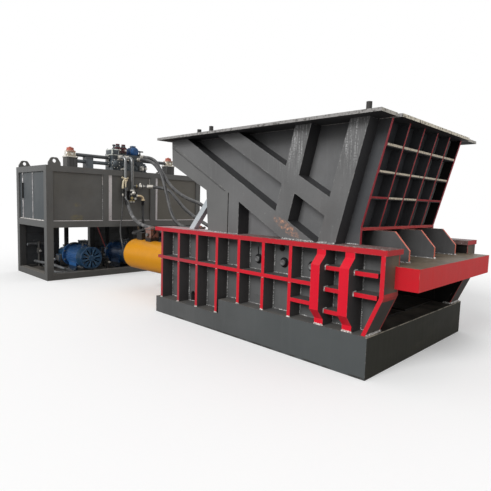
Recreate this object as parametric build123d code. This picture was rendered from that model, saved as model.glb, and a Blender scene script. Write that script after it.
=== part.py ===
from build123d import *
from math import cos, radians, sin, tan
import os

# All sizes are in millimetres. X runs to the discharge end, Z is up, and Z = 0 is the floor.
# The origin is on the floor under the middle of the base skid.

# Base skid: a stepped box of plate, open underneath
base_length = 3230
base_width = 2350
base_height = 392
base_low_height = 216
base_low_length = 1285
base_skin = 30
base_wall = 40

# Side frames
frame_gap = 1760
web_thickness = 100
web_rear_inset = 74
web_front_reach = 79
nose_height = 755
nose_foot_setback = 75
rib_depth = 172
rib_thickness = 40
rib_count = 7
rib_pitch = 371.5
flange_top = 1174
flange_thickness = 50
flange_inner_lip = 35
flange_outer_lip = 3
flange_rear_overhang = 146
flange_front_overhang = 55
mid_rib_height = 773
mid_rib_overhang = 72
low_rib_height = 578
end_plate_thickness = 41
column_width = 100
column_first_x = 1081
column_pitch = 311
column_bulge_depth = 90
column_foot = 60
column_foot_taper = 100
column_head = 50
column_head_taper = 90
column_rib_heights = (955, 748, 536)
nose_rib_heights = (945, 750)
drain_x = -1043
drain_width = 90
drain_height = 132
peep_radius = 38
peep_height = 1067
peep_setback = 64
screw_radius = 32
screw_head = 36
screw_height = 915
screw_setback = 27
screw_count = 3
bays_before_screws_count = 4
bays_before_peep_count = 5
key_slot_width = 18
key_slot_height = 105
key_slot_setback = 12

# Knife, its bed and its guides
rear_plate_thickness = 80
shear_line = 819
blade_gap = 0.5
blade_width = 60
blade_height = 110
liner_thickness = 20
side_liner_thickness = 25
liner_front_x = 1400
liner_gap = 120
bed_beam_count = 4
bed_beam_width = 150
slide_gap = 0.5
carriage_length = 1060
carriage_front_x = 490
carriage_vee_depth = 90
guide_width = 80
guide_height = 60
guide_rear_x = -1200
guide_front_x = 370

# Front beam over the discharge opening
beam_rear_x = 1185
beam_front_x = 1953
beam_height = 203
beam_width = 1916

# Main cylinders
cylinder_spacing = 1010
cylinder_axis_height = 606
barrel_radius = 254
bore_radius = 200
barrel_reach = 1694
barrel_end_round = 30
cap_length = 110
gland_length = 150
rod_radius = 140
piston_length = 200
piston_setback = 25
running_gap = 0.3
port_width = 210
port_height = 175
port_length = 150
cap_port_x = -3050
rod_port_x = -1715
fill_port_x = -2745
fill_port_length = 150
fill_port_width = 150
fill_port_height = 215

# Hopper
hopper_half_width = 845
hopper_wall = 35
hopper_plate = 30
hopper_top = 2334
hopper_rear_x = -1455
lattice_depth = 175
floor_foot_x = 508
floor_angle = 29.6
diagonal_width = 200
second_diagonal_width = 181
second_diagonal_offset = 986
front_lean = 14.4
ledge_rise = 316
front_edge_foot_x = 1325
grid_depth = 110
grid_rib = 30
grid_columns = 5
grid_first_drop = 225
grid_row_pitch = 242.5
grid_row_count = 3
front_upright_x = 1062
rear_upright_x = 429
upright_width = 198
rear_upright_foot = 1300
post_rear_x = -325
post_width = 170
leg_seam = 15
leg_foot_x = -687
leg_elbow_x = -731
leg_elbow_z = 1679
leg_heel_x = -1441
leg_heel_z = 2017
brace_foot_x = -1170
brace_size = 70
brace_inset = 20
gusset_spacing = 600
gusset_length = 481
gusset_top_length = 328
gusset_lip = 115
rim_thickness = 30
rim_outer = 1201
rim_inner = 900
rim_rear_x = -1591
rim_front_x = 1640
front_rim_x = 1669
cross_rim_half = 866
rear_rim_width = 166
peg_radius = 26
peg_y = 1050
peg_places = ((1440, 95), (-671, 87), (-897, 69))

# Hydraulic power pack behind the shear
pack_front_x = -4654
pack_depth = 1512
pack_side_y = -1475
pack_length = 3570
pack_height = 2110
post_size = 120
base_beam = 115
mid_beam_top = 1095
mid_beam = 120
top_beam = 108
middle_post_shares = (0.309, 0.6134)
middle_post_widths = (114, 133)
middle_post_depth = 30
rear_post_shares = (0.193, 0.4216, 0.7)
rear_post_width = 114
rear_sheet_setback = 52
rear_sheet_thickness = 8
rear_sheet_ribs_count = 3
rear_sheet_rib_depth = 30
tray_top = 80
tray_thickness = 20
tank_recess = 30
tank_wall = 8
hatch_radius = 150
hatch_lip = 40
hatch_cover = 14
strip_thickness = 8
front_strip_widths = (80, 60)
end_strips = ((-5380, 14), (-5905, 30))
lug_width = 224
lug_height = 143
lug_thickness = 30
lug_setback = 43
lug_hole_radius = 34
lug_hole_drop = 62
lug_round = 45

# Parts on top of the oil tank
filter_x = -5000
filter_shares = (0.1672, 0.8081)
filter_base = 200
filter_base_height = 201
filter_head = 141
filter_head_height = 125
filter_cap_radius = 66
filter_cap_height = 54
pipe_radius = 35
upper_pipe_rise = 261
lower_pipe_rise = 141
stand_y = -518
stand_size = 150
stand_height = 235
block_rear_x = -5150
block_front_x = -4850
block_side_y = -66
block_length = 720
block_height = 350
solenoid_y = (130, 262)
solenoid_size = 96
solenoid_height = 150
solenoid_cap_radius = 40
solenoid_cap_height = 66
pilot_radius = 84
pilot_y = 476
pilot_length = 240
cover_y = (10, 620)
cover_radius = 62
cover_height = 46

# Pipes on the front of the tank
drop_x = -4610
drop_radius = 28
drop_bend = 90
long_drop_y = 90
long_drop_foot = 1560
long_drop_toe_x = -4530
long_drop_toe_y = 74.25
long_drop_toe_z = 1480
short_drop_y = 240
drop_head_rise = 270
pilot_stub_y = 30
pilot_stub_z = 1740
pilot_stub_foot = 1640
pilot_stub_radius = 16
pilot_stub_bend = 30
collar_radius = 44
collar_length = 60
branch_radius = 24
branch_height = 1812
branch_end_y = 535
branch_toe_x = -4560
branch_toe_y = 590
junction_drop = 112
junction_height = 180
junction_width = 160
junction_front_x = -4560
elbow_radius = 26
elbow_drop = 202
elbow_y = 500
elbow_reach = 110
elbow_bend = 70

# Motors and pumps under the tank
motor_axis_height = 357
motor_shares = (0.245, 0.51, 0.775)
cowl_front_x = -4700
cowl_radius = 215
cowl_length = 230
cowl_wall = 4
cowl_slots = 12
cowl_slot_width = 26
cowl_slot_inner = 60
cowl_slot_outer = 185
motor_length = 520
motor_radius = 186
fin_height = 26
fin_thickness = 9
fin_count = 30
fin_gap_angle = 76
motor_flange_radius = 257
motor_flange = 22
foot_span = 356
foot_width = 70
foot_length = 330
foot_thickness = 24
terminal_size = 150
terminal_height = 300
terminal_setback = 80
terminal_offset = 110
shaft_radius = 27
hub_radius = 48
hub_length = 90
fan_blades = 8
fan_radius = 180
fan_blade = 6
coupling_radius = 78
coupling_length = 120
bell_length = 250
bell_radius = 150
bell_bore = 110
bell_wall = 20
pump_radius = 115
pump_length = 300
pump_nose_radius = 62
pump_port_height = 150
pump_port_radius = 58
suction_radius = 45
suction_flange_radius = 75
suction_flange = 20

# Hydraulic hoses
hose_radius = 33
hose_thin_radii = {"hose_near_cap": 25, "hose_pilot": 14}
hose_bend_share = 0.45

# Places worked out from the sizes above
base_front_x = base_length / 2
base_rear_x = -base_front_x
base_step_x = base_rear_x + base_low_length
web_inner = frame_gap / 2
web_outer = web_inner + web_thickness
rib_outer = web_outer + rib_depth
flange_outer = rib_outer + flange_outer_lip
flange_inner = web_inner - flange_inner_lip
web_top = flange_top - flange_thickness
web_rear_x = base_rear_x + web_rear_inset
web_front_x = base_front_x + web_front_reach
nose_foot_x = base_front_x - nose_foot_setback
bed_top = base_height + liner_thickness
carriage_bottom = bed_top + slide_gap
blade_top = shear_line - blade_gap
carriage_top = blade_top - liner_thickness / 3
platform_top = shear_line + beam_height
ledge_height = platform_top + ledge_rise
barrel_rear_x = web_rear_x - barrel_reach
rear_plate_front_x = web_rear_x + rear_plate_thickness
carriage_rear_x = carriage_front_x - carriage_length
cylinder_y = cylinder_spacing / 2
hopper_outer = hopper_half_width + hopper_wall
lattice_outer = hopper_outer + lattice_depth
floor_slope = tan(radians(floor_angle))
lean_slope = tan(radians(front_lean))
wall_outer_foot_x = front_edge_foot_x - grid_depth
pack_rear_x = pack_front_x - pack_depth
pack_end_y = pack_side_y + pack_length
middle_post_y = [pack_side_y + share * pack_length for share in middle_post_shares]
rear_post_y = [pack_side_y + share * pack_length for share in rear_post_shares]
filter_places = [pack_side_y + share * pack_length for share in filter_shares]
motor_places = [pack_side_y + share * pack_length for share in motor_shares]
upper_pipe_height = pack_height + upper_pipe_rise
lower_pipe_height = pack_height + lower_pipe_rise
drop_head = pack_height + drop_head_rise
short_drop_foot = branch_height - junction_drop
junction_low_z = short_drop_foot - junction_height
elbow_height = branch_height - elbow_drop
elbow_foot = elbow_height - elbow_reach
motor_front_x = cowl_front_x - cowl_length
motor_rear_x = motor_front_x - motor_length
bell_rear_x = motor_rear_x - bell_length
pump_rear_x = bell_rear_x - pump_length
cap_port_rear_x = cap_port_x - port_length / 2
rod_port_rear_x = rod_port_x - port_length / 2
fill_port_rear_x = fill_port_x - fill_port_length / 2

# Corner points that the hoses' straight runs meet at, from the pack to the cylinders
hose_points = {
    "hose_far_rod": (
        (block_front_x, 610, 2435), (-4400, 610, 2435), (-4050, 580, 2098), (-3688, 555, 1787), (-3167, 535, 1575),
        (-2565, 500, 1472), (-2150, 440, 1000), (rod_port_rear_x, 440, 1000),
    ),
    "hose_far_fill": (
        (block_front_x, 530, 2375), (-4420, 530, 2375), (-3950, 490, 2110), (-3740, 491, 1640), (-3560, 498, 1180),
        (-3210, 505, 1020), (fill_port_rear_x, cylinder_y, 1020),
    ),
    "hose_far_second": (
        (branch_toe_x, branch_toe_y, branch_height), (-4290, 887, 1812), (-3930, 880, 1560), (-3500, 790, 1340),
        (-3000, 700, 1190), (-2480, 650, 1035), (-2130, 570, 965), (rod_port_rear_x, 570, 965),
    ),
    "hose_near_rod": (
        (long_drop_toe_x, long_drop_toe_y, long_drop_toe_z), (-4290, 27, 1240), (-3880, -90, 1105),
        (-3320, -250, 1055), (-2750, -340, 1040), (-2250, -505, 965), (rod_port_rear_x, -cylinder_y, 965),
    ),
    "hose_near_cap": (
        (drop_x, elbow_y, elbow_foot), (-4610, 500, 1170), (-4310, 340, 990), (-3850, 30, 950),
        (-3480, -505, 935), (cap_port_rear_x, -cylinder_y, 935),
    ),
    "hose_pilot": (
        (drop_x, pilot_stub_y, pilot_stub_foot), (-4610, 30, 1300), (-4590, -50, 900), (-4390, -110, 640),
        (-4000, -290, 520), (-3620, -505, 480), (barrel_rear_x, -cylinder_y, 480),
    ),
}


def block(x_range, y_range, z_range):
    size = [high - low for low, high in (x_range, y_range, z_range)]
    middle = [(high + low) / 2 for low, high in (x_range, y_range, z_range)]
    return Pos(*middle) * Box(*size)


def plate_y(outline, y_low, y_high):
    # A plate with its outline in the X-Z plane
    edge = Polyline(*[(x, y_low, z) for x, z in outline], close=True)
    return extrude(make_face(edge), amount=y_high - y_low, dir=(0, 1, 0))


def plate_x(outline, x_low, x_high):
    # A plate with its outline in the Y-Z plane
    edge = Polyline(*[(x_low, y, z) for y, z in outline], close=True)
    return extrude(make_face(edge), amount=x_high - x_low, dir=(1, 0, 0))


def plate_z(outline, z_low, z_high):
    # A plate with its outline in the X-Y plane
    edge = Polyline(*[(x, y, z_low) for x, y in outline], close=True)
    return extrude(make_face(edge), amount=z_high - z_low, dir=(0, 0, 1))


def round_bar(start, end, radius):
    run = Vector(*end) - Vector(*start)
    return extrude(Plane(origin=start, z_dir=run) * Circle(radius), amount=run.length)


def both_sides(solid):
    return [solid, mirror(solid, about=Plane.XZ)]


def save(name, pieces):
    solids = [solid for piece in pieces for solid in piece.solids()]
    export_step(Compound(children=solids), f"parts/{name}.step")


def bends(points):
    # The largest arc at each corner that leaves a straight piece in the runs on both sides of it
    corners = [Vector(*point) for point in points]
    radii = []
    for before, corner, after in zip(corners, corners[1:], corners[2:]):
        half_turn = radians((corner - before).get_angle(after - corner)) / 2
        shorter_run = min((corner - before).length, (after - corner).length)
        radii.append(hose_bend_share * shorter_run / tan(half_turn))
    return radii


def tube(points, radius, radii):
    path = FilletPolyline(*points, radius=radii)
    section = Plane(origin=path @ 0, z_dir=path % 0) * Circle(radius)
    return sweep(section, path=path)


def floor_z(x):
    # Height of the sloping hopper floor
    return flange_top + (floor_foot_x - x) * floor_slope


def front_edge_x(z):
    # Front edge of the hopper: upright below the ledge, leaning above it
    return front_edge_foot_x + max(0, z - ledge_height) * lean_slope


def wall_face_x(z):
    return front_edge_x(z) - grid_depth


def make_base():
    outline = [
        (base_rear_x, 0), (base_front_x, 0), (base_front_x, base_height),
        (base_step_x, base_height), (base_step_x, base_low_height), (base_rear_x, base_low_height),
    ]
    half = base_width / 2
    skid = plate_y(outline, -half, half)
    middle_x = (base_step_x + base_front_x) / 2
    bays = [
        (base_rear_x + base_wall, base_step_x, base_low_height),
        (base_step_x + base_wall, middle_x - base_wall / 2, base_height),
        (middle_x + base_wall / 2, base_front_x - base_wall, base_height),
    ]
    lanes = [(base_wall / 2, half - base_wall), (base_wall - half, -base_wall / 2)]
    for x_low, x_high, top in bays:
        for lane in lanes:
            skid -= block((x_low, x_high), lane, (0, top - base_skin))
    return skid


def rib_x(index):
    return web_rear_x + rib_thickness / 2 + index * rib_pitch


def screw_x(index):
    return rib_x(bays_before_screws_count + index) + rib_pitch / 2 - screw_setback


def foot_z(x):
    return base_low_height if x < base_step_x else base_height


def make_web():
    outline = [
        (web_rear_x, base_low_height), (web_rear_x, web_top), (web_front_x, web_top), (web_front_x, nose_height),
        (nose_foot_x, base_height), (base_step_x, base_height), (base_step_x, base_low_height),
    ]
    web = plate_y(outline, web_inner, web_outer)
    half = drain_width / 2
    arch_z = base_low_height + drain_height - half
    web -= block((drain_x - half, drain_x + half), (web_inner, web_outer), (base_low_height, arch_z))
    web -= round_bar((drain_x, web_inner, arch_z), (drain_x, web_outer, arch_z), half)
    peep_x = rib_x(bays_before_peep_count) + rib_pitch / 2 - peep_setback
    web -= round_bar((peep_x, web_inner, peep_height), (peep_x, web_outer, peep_height), peep_radius)
    slot_x = screw_x(0) - key_slot_setback
    slot_x_range = (slot_x - key_slot_width / 2, slot_x + key_slot_width / 2)
    slot_z = screw_height + screw_radius
    web -= block(slot_x_range, (web_inner, web_outer), (slot_z, slot_z + key_slot_height))
    return web


def make_flange():
    x_range = (web_rear_x - flange_rear_overhang, web_front_x + flange_front_overhang)
    return block(x_range, (flange_inner, flange_outer), (web_top, flange_top))


def make_ribs():
    depth = (web_outer, rib_outer)
    half = rib_thickness / 2
    column_x = column_first_x - column_width / 2
    ribs = []
    for index in range(rib_count):
        x = rib_x(index)
        thick = (x - half, x + half)
        ribs.append(block(thick, depth, (mid_rib_height + half, web_top)))
        ribs.append(block(thick, depth, (foot_z(x), mid_rib_height - half)))
    rows = [(web_rear_x - mid_rib_overhang, column_x, mid_rib_height)]
    rows.append((rib_x(rib_count - 1) + half, column_x, low_rib_height))
    for z in column_rib_heights:
        rows.append((column_x + column_width, column_x + column_pitch, z))
    for z in nose_rib_heights:
        rows.append((column_x + column_pitch + column_width, web_front_x - half, z))
    for x_low, x_high, z in rows:
        ribs.append(block((x_low, x_high), depth, (z - half, z + half)))
    return ribs


def make_columns():
    bulge_outer = rib_outer + column_bulge_depth
    foot_top = base_height + column_foot
    head_low = web_top - column_head
    outline = [
        (web_outer, base_height), (rib_outer, base_height), (rib_outer, foot_top),
        (bulge_outer, foot_top + column_foot_taper), (bulge_outer, head_low - column_head_taper),
        (rib_outer, head_low), (rib_outer, web_top), (web_outer, web_top),
    ]
    columns = []
    for index in range(2):
        x = column_first_x + index * column_pitch
        columns.append(plate_x(outline, x - column_width / 2, x + column_width / 2))
    return columns


def make_end_plate():
    front_x = web_front_x + end_plate_thickness
    foot_front_x = nose_foot_x + end_plate_thickness
    outline = [
        (web_front_x, web_top), (front_x, web_top), (front_x, nose_height),
        (foot_front_x, base_height), (nose_foot_x, base_height), (web_front_x, nose_height),
    ]
    return plate_y(outline, web_inner, rib_outer)


def make_guide_screws():
    screws = []
    for index in range(screw_count):
        x = screw_x(index)
        tip = (x, web_outer + screw_head, screw_height)
        screws.append(round_bar((x, web_outer, screw_height), tip, screw_radius))
    return screws


def make_rear_plate():
    plate = block((web_rear_x, rear_plate_front_x), (-web_inner, web_inner), (base_low_height, web_top))
    for y in (-cylinder_y, cylinder_y):
        start = (web_rear_x, y, cylinder_axis_height)
        plate -= round_bar(start, (rear_plate_front_x, y, cylinder_axis_height), barrel_radius + running_gap)
    return plate


def make_bed_beams():
    beams = []
    step = (frame_gap - bed_beam_width) / (bed_beam_count - 1)
    for index in range(bed_beam_count):
        y = index * step - web_inner
        x_range = (rear_plate_front_x, base_step_x)
        beams.append(block(x_range, (y, y + bed_beam_width), (base_low_height, base_height)))
    return beams


def make_liners():
    floor_strip = block((rear_plate_front_x, liner_front_x), (liner_gap / 2, web_inner), (base_height, bed_top))
    side_z = (bed_top, carriage_top)
    side_strip = block((guide_rear_x, liner_front_x), (web_inner - side_liner_thickness, web_inner), side_z)
    return both_sides(floor_strip) + both_sides(side_strip)


def make_top_guides():
    low = carriage_top + slide_gap
    y_range = (web_inner - guide_width, web_inner)
    return both_sides(block((guide_rear_x, guide_front_x), y_range, (low, low + guide_height)))


def floor_under_z(x):
    return floor_z(x) - hopper_plate / cos(radians(floor_angle))


def make_throat_beam():
    low = carriage_top + slide_gap + guide_height
    rear_x = floor_foot_x - guide_width * 2
    outline = [
        (rear_x, low), (floor_foot_x, low),
        (floor_foot_x, floor_under_z(floor_foot_x)), (rear_x, floor_under_z(rear_x)),
    ]
    return plate_y(outline, -flange_inner, flange_inner)


def make_front_beam():
    shoulder_x = web_front_x + end_plate_thickness
    half = beam_width / 2
    outline = [
        (beam_rear_x, -web_inner), (shoulder_x, -web_inner), (shoulder_x, -half), (beam_front_x, -half),
        (beam_front_x, half), (shoulder_x, half), (shoulder_x, web_inner), (beam_rear_x, web_inner),
    ]
    beam = plate_z(outline, shear_line, platform_top)
    seat_x = (beam_rear_x, beam_rear_x + blade_width)
    seat = block(seat_x, (-web_inner, web_inner), (shear_line, shear_line + blade_height))
    return beam - seat


def make_fixed_blades():
    x_range = (beam_rear_x, beam_rear_x + blade_width)
    return both_sides(block(x_range, (blade_gap, web_inner), (shear_line, shear_line + blade_height)))


def moving_blade_outline(setback):
    half = web_inner - side_liner_thickness - slide_gap
    return [
        (carriage_front_x - carriage_vee_depth - setback, 0), (carriage_front_x - carriage_vee_depth, 0),
        (carriage_front_x, half), (carriage_front_x - setback, half),
    ]


def make_carriage():
    half = web_inner - side_liner_thickness - slide_gap
    outline = [
        (carriage_rear_x, -half), (carriage_front_x, -half), (carriage_front_x - carriage_vee_depth, 0),
        (carriage_front_x, half), (carriage_rear_x, half),
    ]
    carriage = plate_z(outline, carriage_bottom, carriage_top)
    for seat in both_sides(plate_z(moving_blade_outline(blade_width), blade_top - blade_height, blade_top)):
        carriage -= seat
    return carriage


def make_moving_blades():
    return both_sides(plate_z(moving_blade_outline(blade_width), blade_top - blade_height, blade_top))


def make_barrel():
    axis = (cylinder_y, cylinder_axis_height)
    barrel = round_bar((barrel_rear_x, *axis), (rear_plate_front_x, *axis), barrel_radius)
    barrel = fillet(barrel.edges().sort_by(Axis.X)[0], barrel_end_round)
    return barrel - round_bar((barrel_rear_x + cap_length, *axis), (rear_plate_front_x, *axis), bore_radius)


def make_gland():
    axis = (cylinder_y, cylinder_axis_height)
    start_x = rear_plate_front_x - gland_length
    ring = round_bar((start_x, *axis), (rear_plate_front_x, *axis), bore_radius)
    return ring - round_bar((start_x, *axis), (rear_plate_front_x, *axis), rod_radius + running_gap)


def piston_front_x():
    return barrel_rear_x + cap_length + piston_setback + piston_length


def make_piston():
    axis = (cylinder_y, cylinder_axis_height)
    front_x = piston_front_x()
    return round_bar((front_x - piston_length, *axis), (front_x, *axis), bore_radius - running_gap)


def make_rod():
    axis = (cylinder_y, cylinder_axis_height)
    return round_bar((piston_front_x(), *axis), (carriage_rear_x, *axis), rod_radius)


def saddle_block(x, length, width, height):
    # A block that is shaped to the top of the cylinder barrel
    top = cylinder_axis_height + barrel_radius + height
    y_range = (cylinder_y - width / 2, cylinder_y + width / 2)
    solid = block((x - length / 2, x + length / 2), y_range, (cylinder_axis_height, top))
    axis = (cylinder_y, cylinder_axis_height)
    return solid - round_bar((x - length / 2, *axis), (x + length / 2, *axis), barrel_radius + running_gap)


def make_ports():
    cap_port = saddle_block(cap_port_x, port_length, port_width / 2, port_height * 2 / 3)
    return both_sides(cap_port) + both_sides(saddle_block(rod_port_x, port_length, port_width, port_height))


def make_fill_blocks():
    return both_sides(saddle_block(fill_port_x, fill_port_length, fill_port_width, fill_port_height))


def make_hopper_wall():
    outline = [
        (hopper_rear_x, hopper_top), (hopper_rear_x, floor_z(hopper_rear_x)), (post_rear_x, floor_z(post_rear_x)),
        (post_rear_x, flange_top), (front_edge_foot_x, flange_top), (front_edge_foot_x, ledge_height),
        (front_edge_x(hopper_top), hopper_top),
    ]
    return plate_y(outline, hopper_half_width, hopper_outer)


def leaning_outline(foot_x, slope, width, z_low, z_high):
    # A band between two heights. The foot is where its near edge meets the flange.
    low_x = foot_x + (z_low - flange_top) * slope
    high_x = foot_x + (z_high - flange_top) * slope
    return [(low_x, z_low), (low_x + width, z_low), (high_x + width, z_high), (high_x, z_high)]


def make_lattice():
    depth = (hopper_outer, lattice_outer)
    back_slope = -1 / floor_slope
    along = sin(radians(floor_angle))
    first_width = diagonal_width / along
    second_width = second_diagonal_width / along
    first = leaning_outline(floor_foot_x, back_slope, first_width, flange_top, hopper_top)
    second_foot_x = floor_foot_x + second_diagonal_offset
    second = leaning_outline(second_foot_x, back_slope, second_width, flange_top, hopper_top)
    front = leaning_outline(front_upright_x - upright_width / 2, lean_slope, upright_width, flange_top, hopper_top)
    rear_foot_x = rear_upright_x - upright_width / 2
    rear = leaning_outline(rear_foot_x, lean_slope, upright_width, rear_upright_foot, hopper_top)
    keep = leaning_outline(front_upright_x - base_length, lean_slope, base_length, flange_top, hopper_top)
    post_front_x = post_rear_x + post_width
    post = [
        (post_rear_x, flange_top), (post_front_x, flange_top),
        (post_front_x, floor_z(post_front_x)), (post_rear_x, floor_z(post_rear_x)),
    ]
    ends = block((hopper_rear_x, base_length), depth, (flange_top, hopper_top))
    lattice = plate_y(first, *depth) & ends
    lattice += plate_y(second, *depth) & plate_y(keep, *depth)
    lattice += plate_y(front, *depth)
    lattice += plate_y(rear, *depth)
    lattice += plate_y(post, *depth)
    return lattice


def make_leg():
    seam_x = post_rear_x - leg_seam
    outline = [
        (leg_foot_x, flange_top), (seam_x, flange_top), (seam_x, floor_z(seam_x)),
        (hopper_rear_x, floor_z(hopper_rear_x)), (leg_heel_x, leg_heel_z), (leg_elbow_x, leg_elbow_z),
    ]
    return plate_y(outline, hopper_outer, lattice_outer)


def make_leg_brace():
    rise = leg_elbow_z - flange_top
    wide = brace_size / cos(radians(45))
    lean_x = leg_elbow_x - (leg_elbow_x - leg_foot_x) * wide / rise
    outline = [
        (brace_foot_x, flange_top), (brace_foot_x + wide, flange_top),
        (lean_x, leg_elbow_z - wide), (leg_elbow_x, leg_elbow_z),
    ]
    inner = hopper_outer + brace_inset
    return plate_y(outline, inner, inner + brace_size)


def make_hopper_floor():
    outline = [
        (floor_foot_x, floor_z(floor_foot_x)), (hopper_rear_x, floor_z(hopper_rear_x)),
        (hopper_rear_x, floor_under_z(hopper_rear_x)), (floor_foot_x, floor_under_z(floor_foot_x)),
    ]
    return plate_y(outline, -hopper_half_width, hopper_half_width)


def make_rear_wall():
    x_range = (hopper_rear_x, hopper_rear_x + hopper_plate)
    outline = [
        (x_range[0], floor_z(x_range[0])), (x_range[1], floor_z(x_range[1])),
        (x_range[1], hopper_top), (x_range[0], hopper_top),
    ]
    return plate_y(outline, -hopper_half_width, hopper_half_width)


def make_front_wall():
    foot_x = wall_face_x(platform_top)
    upper = [
        (wall_face_x(ledge_height) - hopper_plate, ledge_height), (wall_face_x(ledge_height), ledge_height),
        (wall_face_x(hopper_top), hopper_top), (wall_face_x(hopper_top) - hopper_plate, hopper_top),
    ]
    wide = (-hopper_half_width, hopper_half_width)
    lower = block((foot_x - hopper_plate, foot_x), wide, (platform_top, ledge_height))
    return [plate_y(upper, *wide), lower]


def grid_strip(z_low, z_high):
    return [
        (wall_face_x(z_low), z_low), (front_edge_x(z_low), z_low),
        (front_edge_x(z_high), z_high), (wall_face_x(z_high), z_high),
    ]


def make_front_grid():
    half = grid_rib / 2
    ledge = [
        (wall_face_x(ledge_height), ledge_height), (front_edge_foot_x, ledge_height),
        (front_edge_foot_x, ledge_height - grid_rib), (wall_face_x(ledge_height), ledge_height - grid_rib),
    ]
    grid = plate_y(ledge, -hopper_half_width, hopper_half_width)
    for index in range(grid_row_count):
        z = hopper_top - grid_first_drop - index * grid_row_pitch
        grid += plate_y(grid_strip(z - half, z + half), -hopper_half_width, hopper_half_width)
    pitch = 2 * hopper_half_width / grid_columns
    for index in range(1, grid_columns):
        y = index * pitch - hopper_half_width
        grid += plate_y(grid_strip(ledge_height, hopper_top), y - half, y + half)
    return grid


def make_gussets():
    rear_x = wall_face_x(platform_top)
    top = ledge_height - grid_rib
    front_x = rear_x + gusset_length
    outline = [
        (rear_x, platform_top), (front_x, platform_top), (front_x, platform_top + gusset_lip),
        (rear_x + gusset_top_length, top), (rear_x, top),
    ]
    half = grid_rib / 2
    return [plate_y(outline, y - half, y + half) for y in (-gusset_spacing, 0, gusset_spacing)]


def make_rim():
    z_range = (hopper_top, hopper_top + rim_thickness)
    side = block((rim_rear_x, rim_front_x), (rim_inner, rim_outer), z_range)
    for x, height in peg_places:
        side += round_bar((x, peg_y, z_range[1]), (x, peg_y, z_range[1] + height), peg_radius)
    inner_x = wall_face_x(hopper_top) - hopper_plate
    cross = (-cross_rim_half, cross_rim_half)
    front = block((inner_x, front_rim_x), cross, z_range)
    rear = block((rim_rear_x, rim_rear_x + rear_rim_width), cross, z_range)
    return both_sides(side) + [front, rear]


def pack_levels():
    return [(0, base_beam), (mid_beam_top - mid_beam, mid_beam_top), (pack_height - top_beam, pack_height)]


def pack_faces_x():
    return [(pack_front_x - post_size, pack_front_x), (pack_rear_x, pack_rear_x + post_size)]


def pack_faces_y():
    return [(pack_side_y, pack_side_y + post_size), (pack_end_y - post_size, pack_end_y)]


def make_pack_posts():
    posts = [block(x, y, (0, pack_height)) for x in pack_faces_x() for y in pack_faces_y()]
    levels = pack_levels()
    low_span = (levels[0][1], levels[1][0])
    high_span = (levels[1][1], levels[2][0])
    front_skin = (pack_front_x - middle_post_depth, pack_front_x)
    rear_skin = (pack_rear_x, pack_rear_x + middle_post_depth)
    rear_x = pack_faces_x()[1]
    for y, width in zip(middle_post_y, middle_post_widths):
        posts.append(block(front_skin, (y, y + width), high_span))
    for y in rear_post_y:
        posts.append(block(rear_x, (y, y + rear_post_width), low_span))
        posts.append(block(rear_skin, (y, y + rear_post_width), high_span))
    return posts


def make_rear_sheets():
    # The lower bays are closed at the back, apart from the second
    levels = pack_levels()
    low, high = levels[0][1], levels[1][0]
    first, second, third = [(y, y + rear_post_width) for y in rear_post_y]
    near, far = pack_faces_y()
    x = pack_rear_x + rear_sheet_setback
    sheet_front_x = x + rear_sheet_thickness
    pitch = (high - low) / (rear_sheet_ribs_count + 1)
    sheets = []
    for y_range in ((near[1], first[0]), (second[1], third[0]), (third[1], far[0])):
        sheet = block((x, sheet_front_x), y_range, (low, high))
        for index in range(rear_sheet_ribs_count):
            z = low + (index + 1) * pitch
            rib_x_range = (sheet_front_x, sheet_front_x + rear_sheet_rib_depth)
            sheet += block(rib_x_range, y_range, (z, z + rear_sheet_thickness))
        sheets.append(sheet)
    return sheets


def make_pack_beams():
    inner_x = (pack_rear_x + post_size, pack_front_x - post_size)
    inner_y = (pack_side_y + post_size, pack_end_y - post_size)
    beams = []
    for z in pack_levels():
        beams += [block(x, inner_y, z) for x in pack_faces_x()]
        beams += [block(inner_x, y, z) for y in pack_faces_y()]
    return beams


def make_tray():
    inner_x = (pack_rear_x + post_size, pack_front_x - post_size)
    inner_y = (pack_side_y + post_size, pack_end_y - post_size)
    return block(inner_x, inner_y, (tray_top - tray_thickness, tray_top))


def make_tank():
    levels = pack_levels()
    low, high = levels[1][1], levels[2][0]
    outer_x = (pack_rear_x + tank_recess, pack_front_x - tank_recess)
    outer_y = (pack_side_y + tank_recess, pack_end_y - tank_recess)
    inner_x = (pack_rear_x + post_size, pack_front_x - post_size)
    inner_y = (pack_side_y + post_size, pack_end_y - post_size)
    tank = block(inner_x, outer_y, (low, high))
    tank += block(outer_x, inner_y, (low, high))
    tank += block(inner_x, inner_y, (high, pack_height))
    narrow_x = (inner_x[0] + tank_wall, inner_x[1] - tank_wall)
    narrow_y = (inner_y[0] + tank_wall, inner_y[1] - tank_wall)
    wide_x = (outer_x[0] + tank_wall, outer_x[1] - tank_wall)
    wide_y = (outer_y[0] + tank_wall, outer_y[1] - tank_wall)
    tank -= block(narrow_x, narrow_y, (low + tank_wall, pack_height - tank_wall))
    tank -= block(wide_x, narrow_y, (low + tank_wall, high - tank_wall))
    tank -= block(narrow_x, wide_y, (low + tank_wall, high - tank_wall))
    hatch_y = (pack_end_y + filter_places[1]) / 2
    hatch = ((inner_x[0] + filter_x) / 2, hatch_y)
    tank -= round_bar((*hatch, pack_height - tank_wall), (*hatch, pack_height), hatch_radius)
    cover_rim = hatch_radius + hatch_lip
    cover = round_bar((*hatch, pack_height), (*hatch, pack_height + hatch_cover), cover_rim)
    return [tank, cover]


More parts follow.
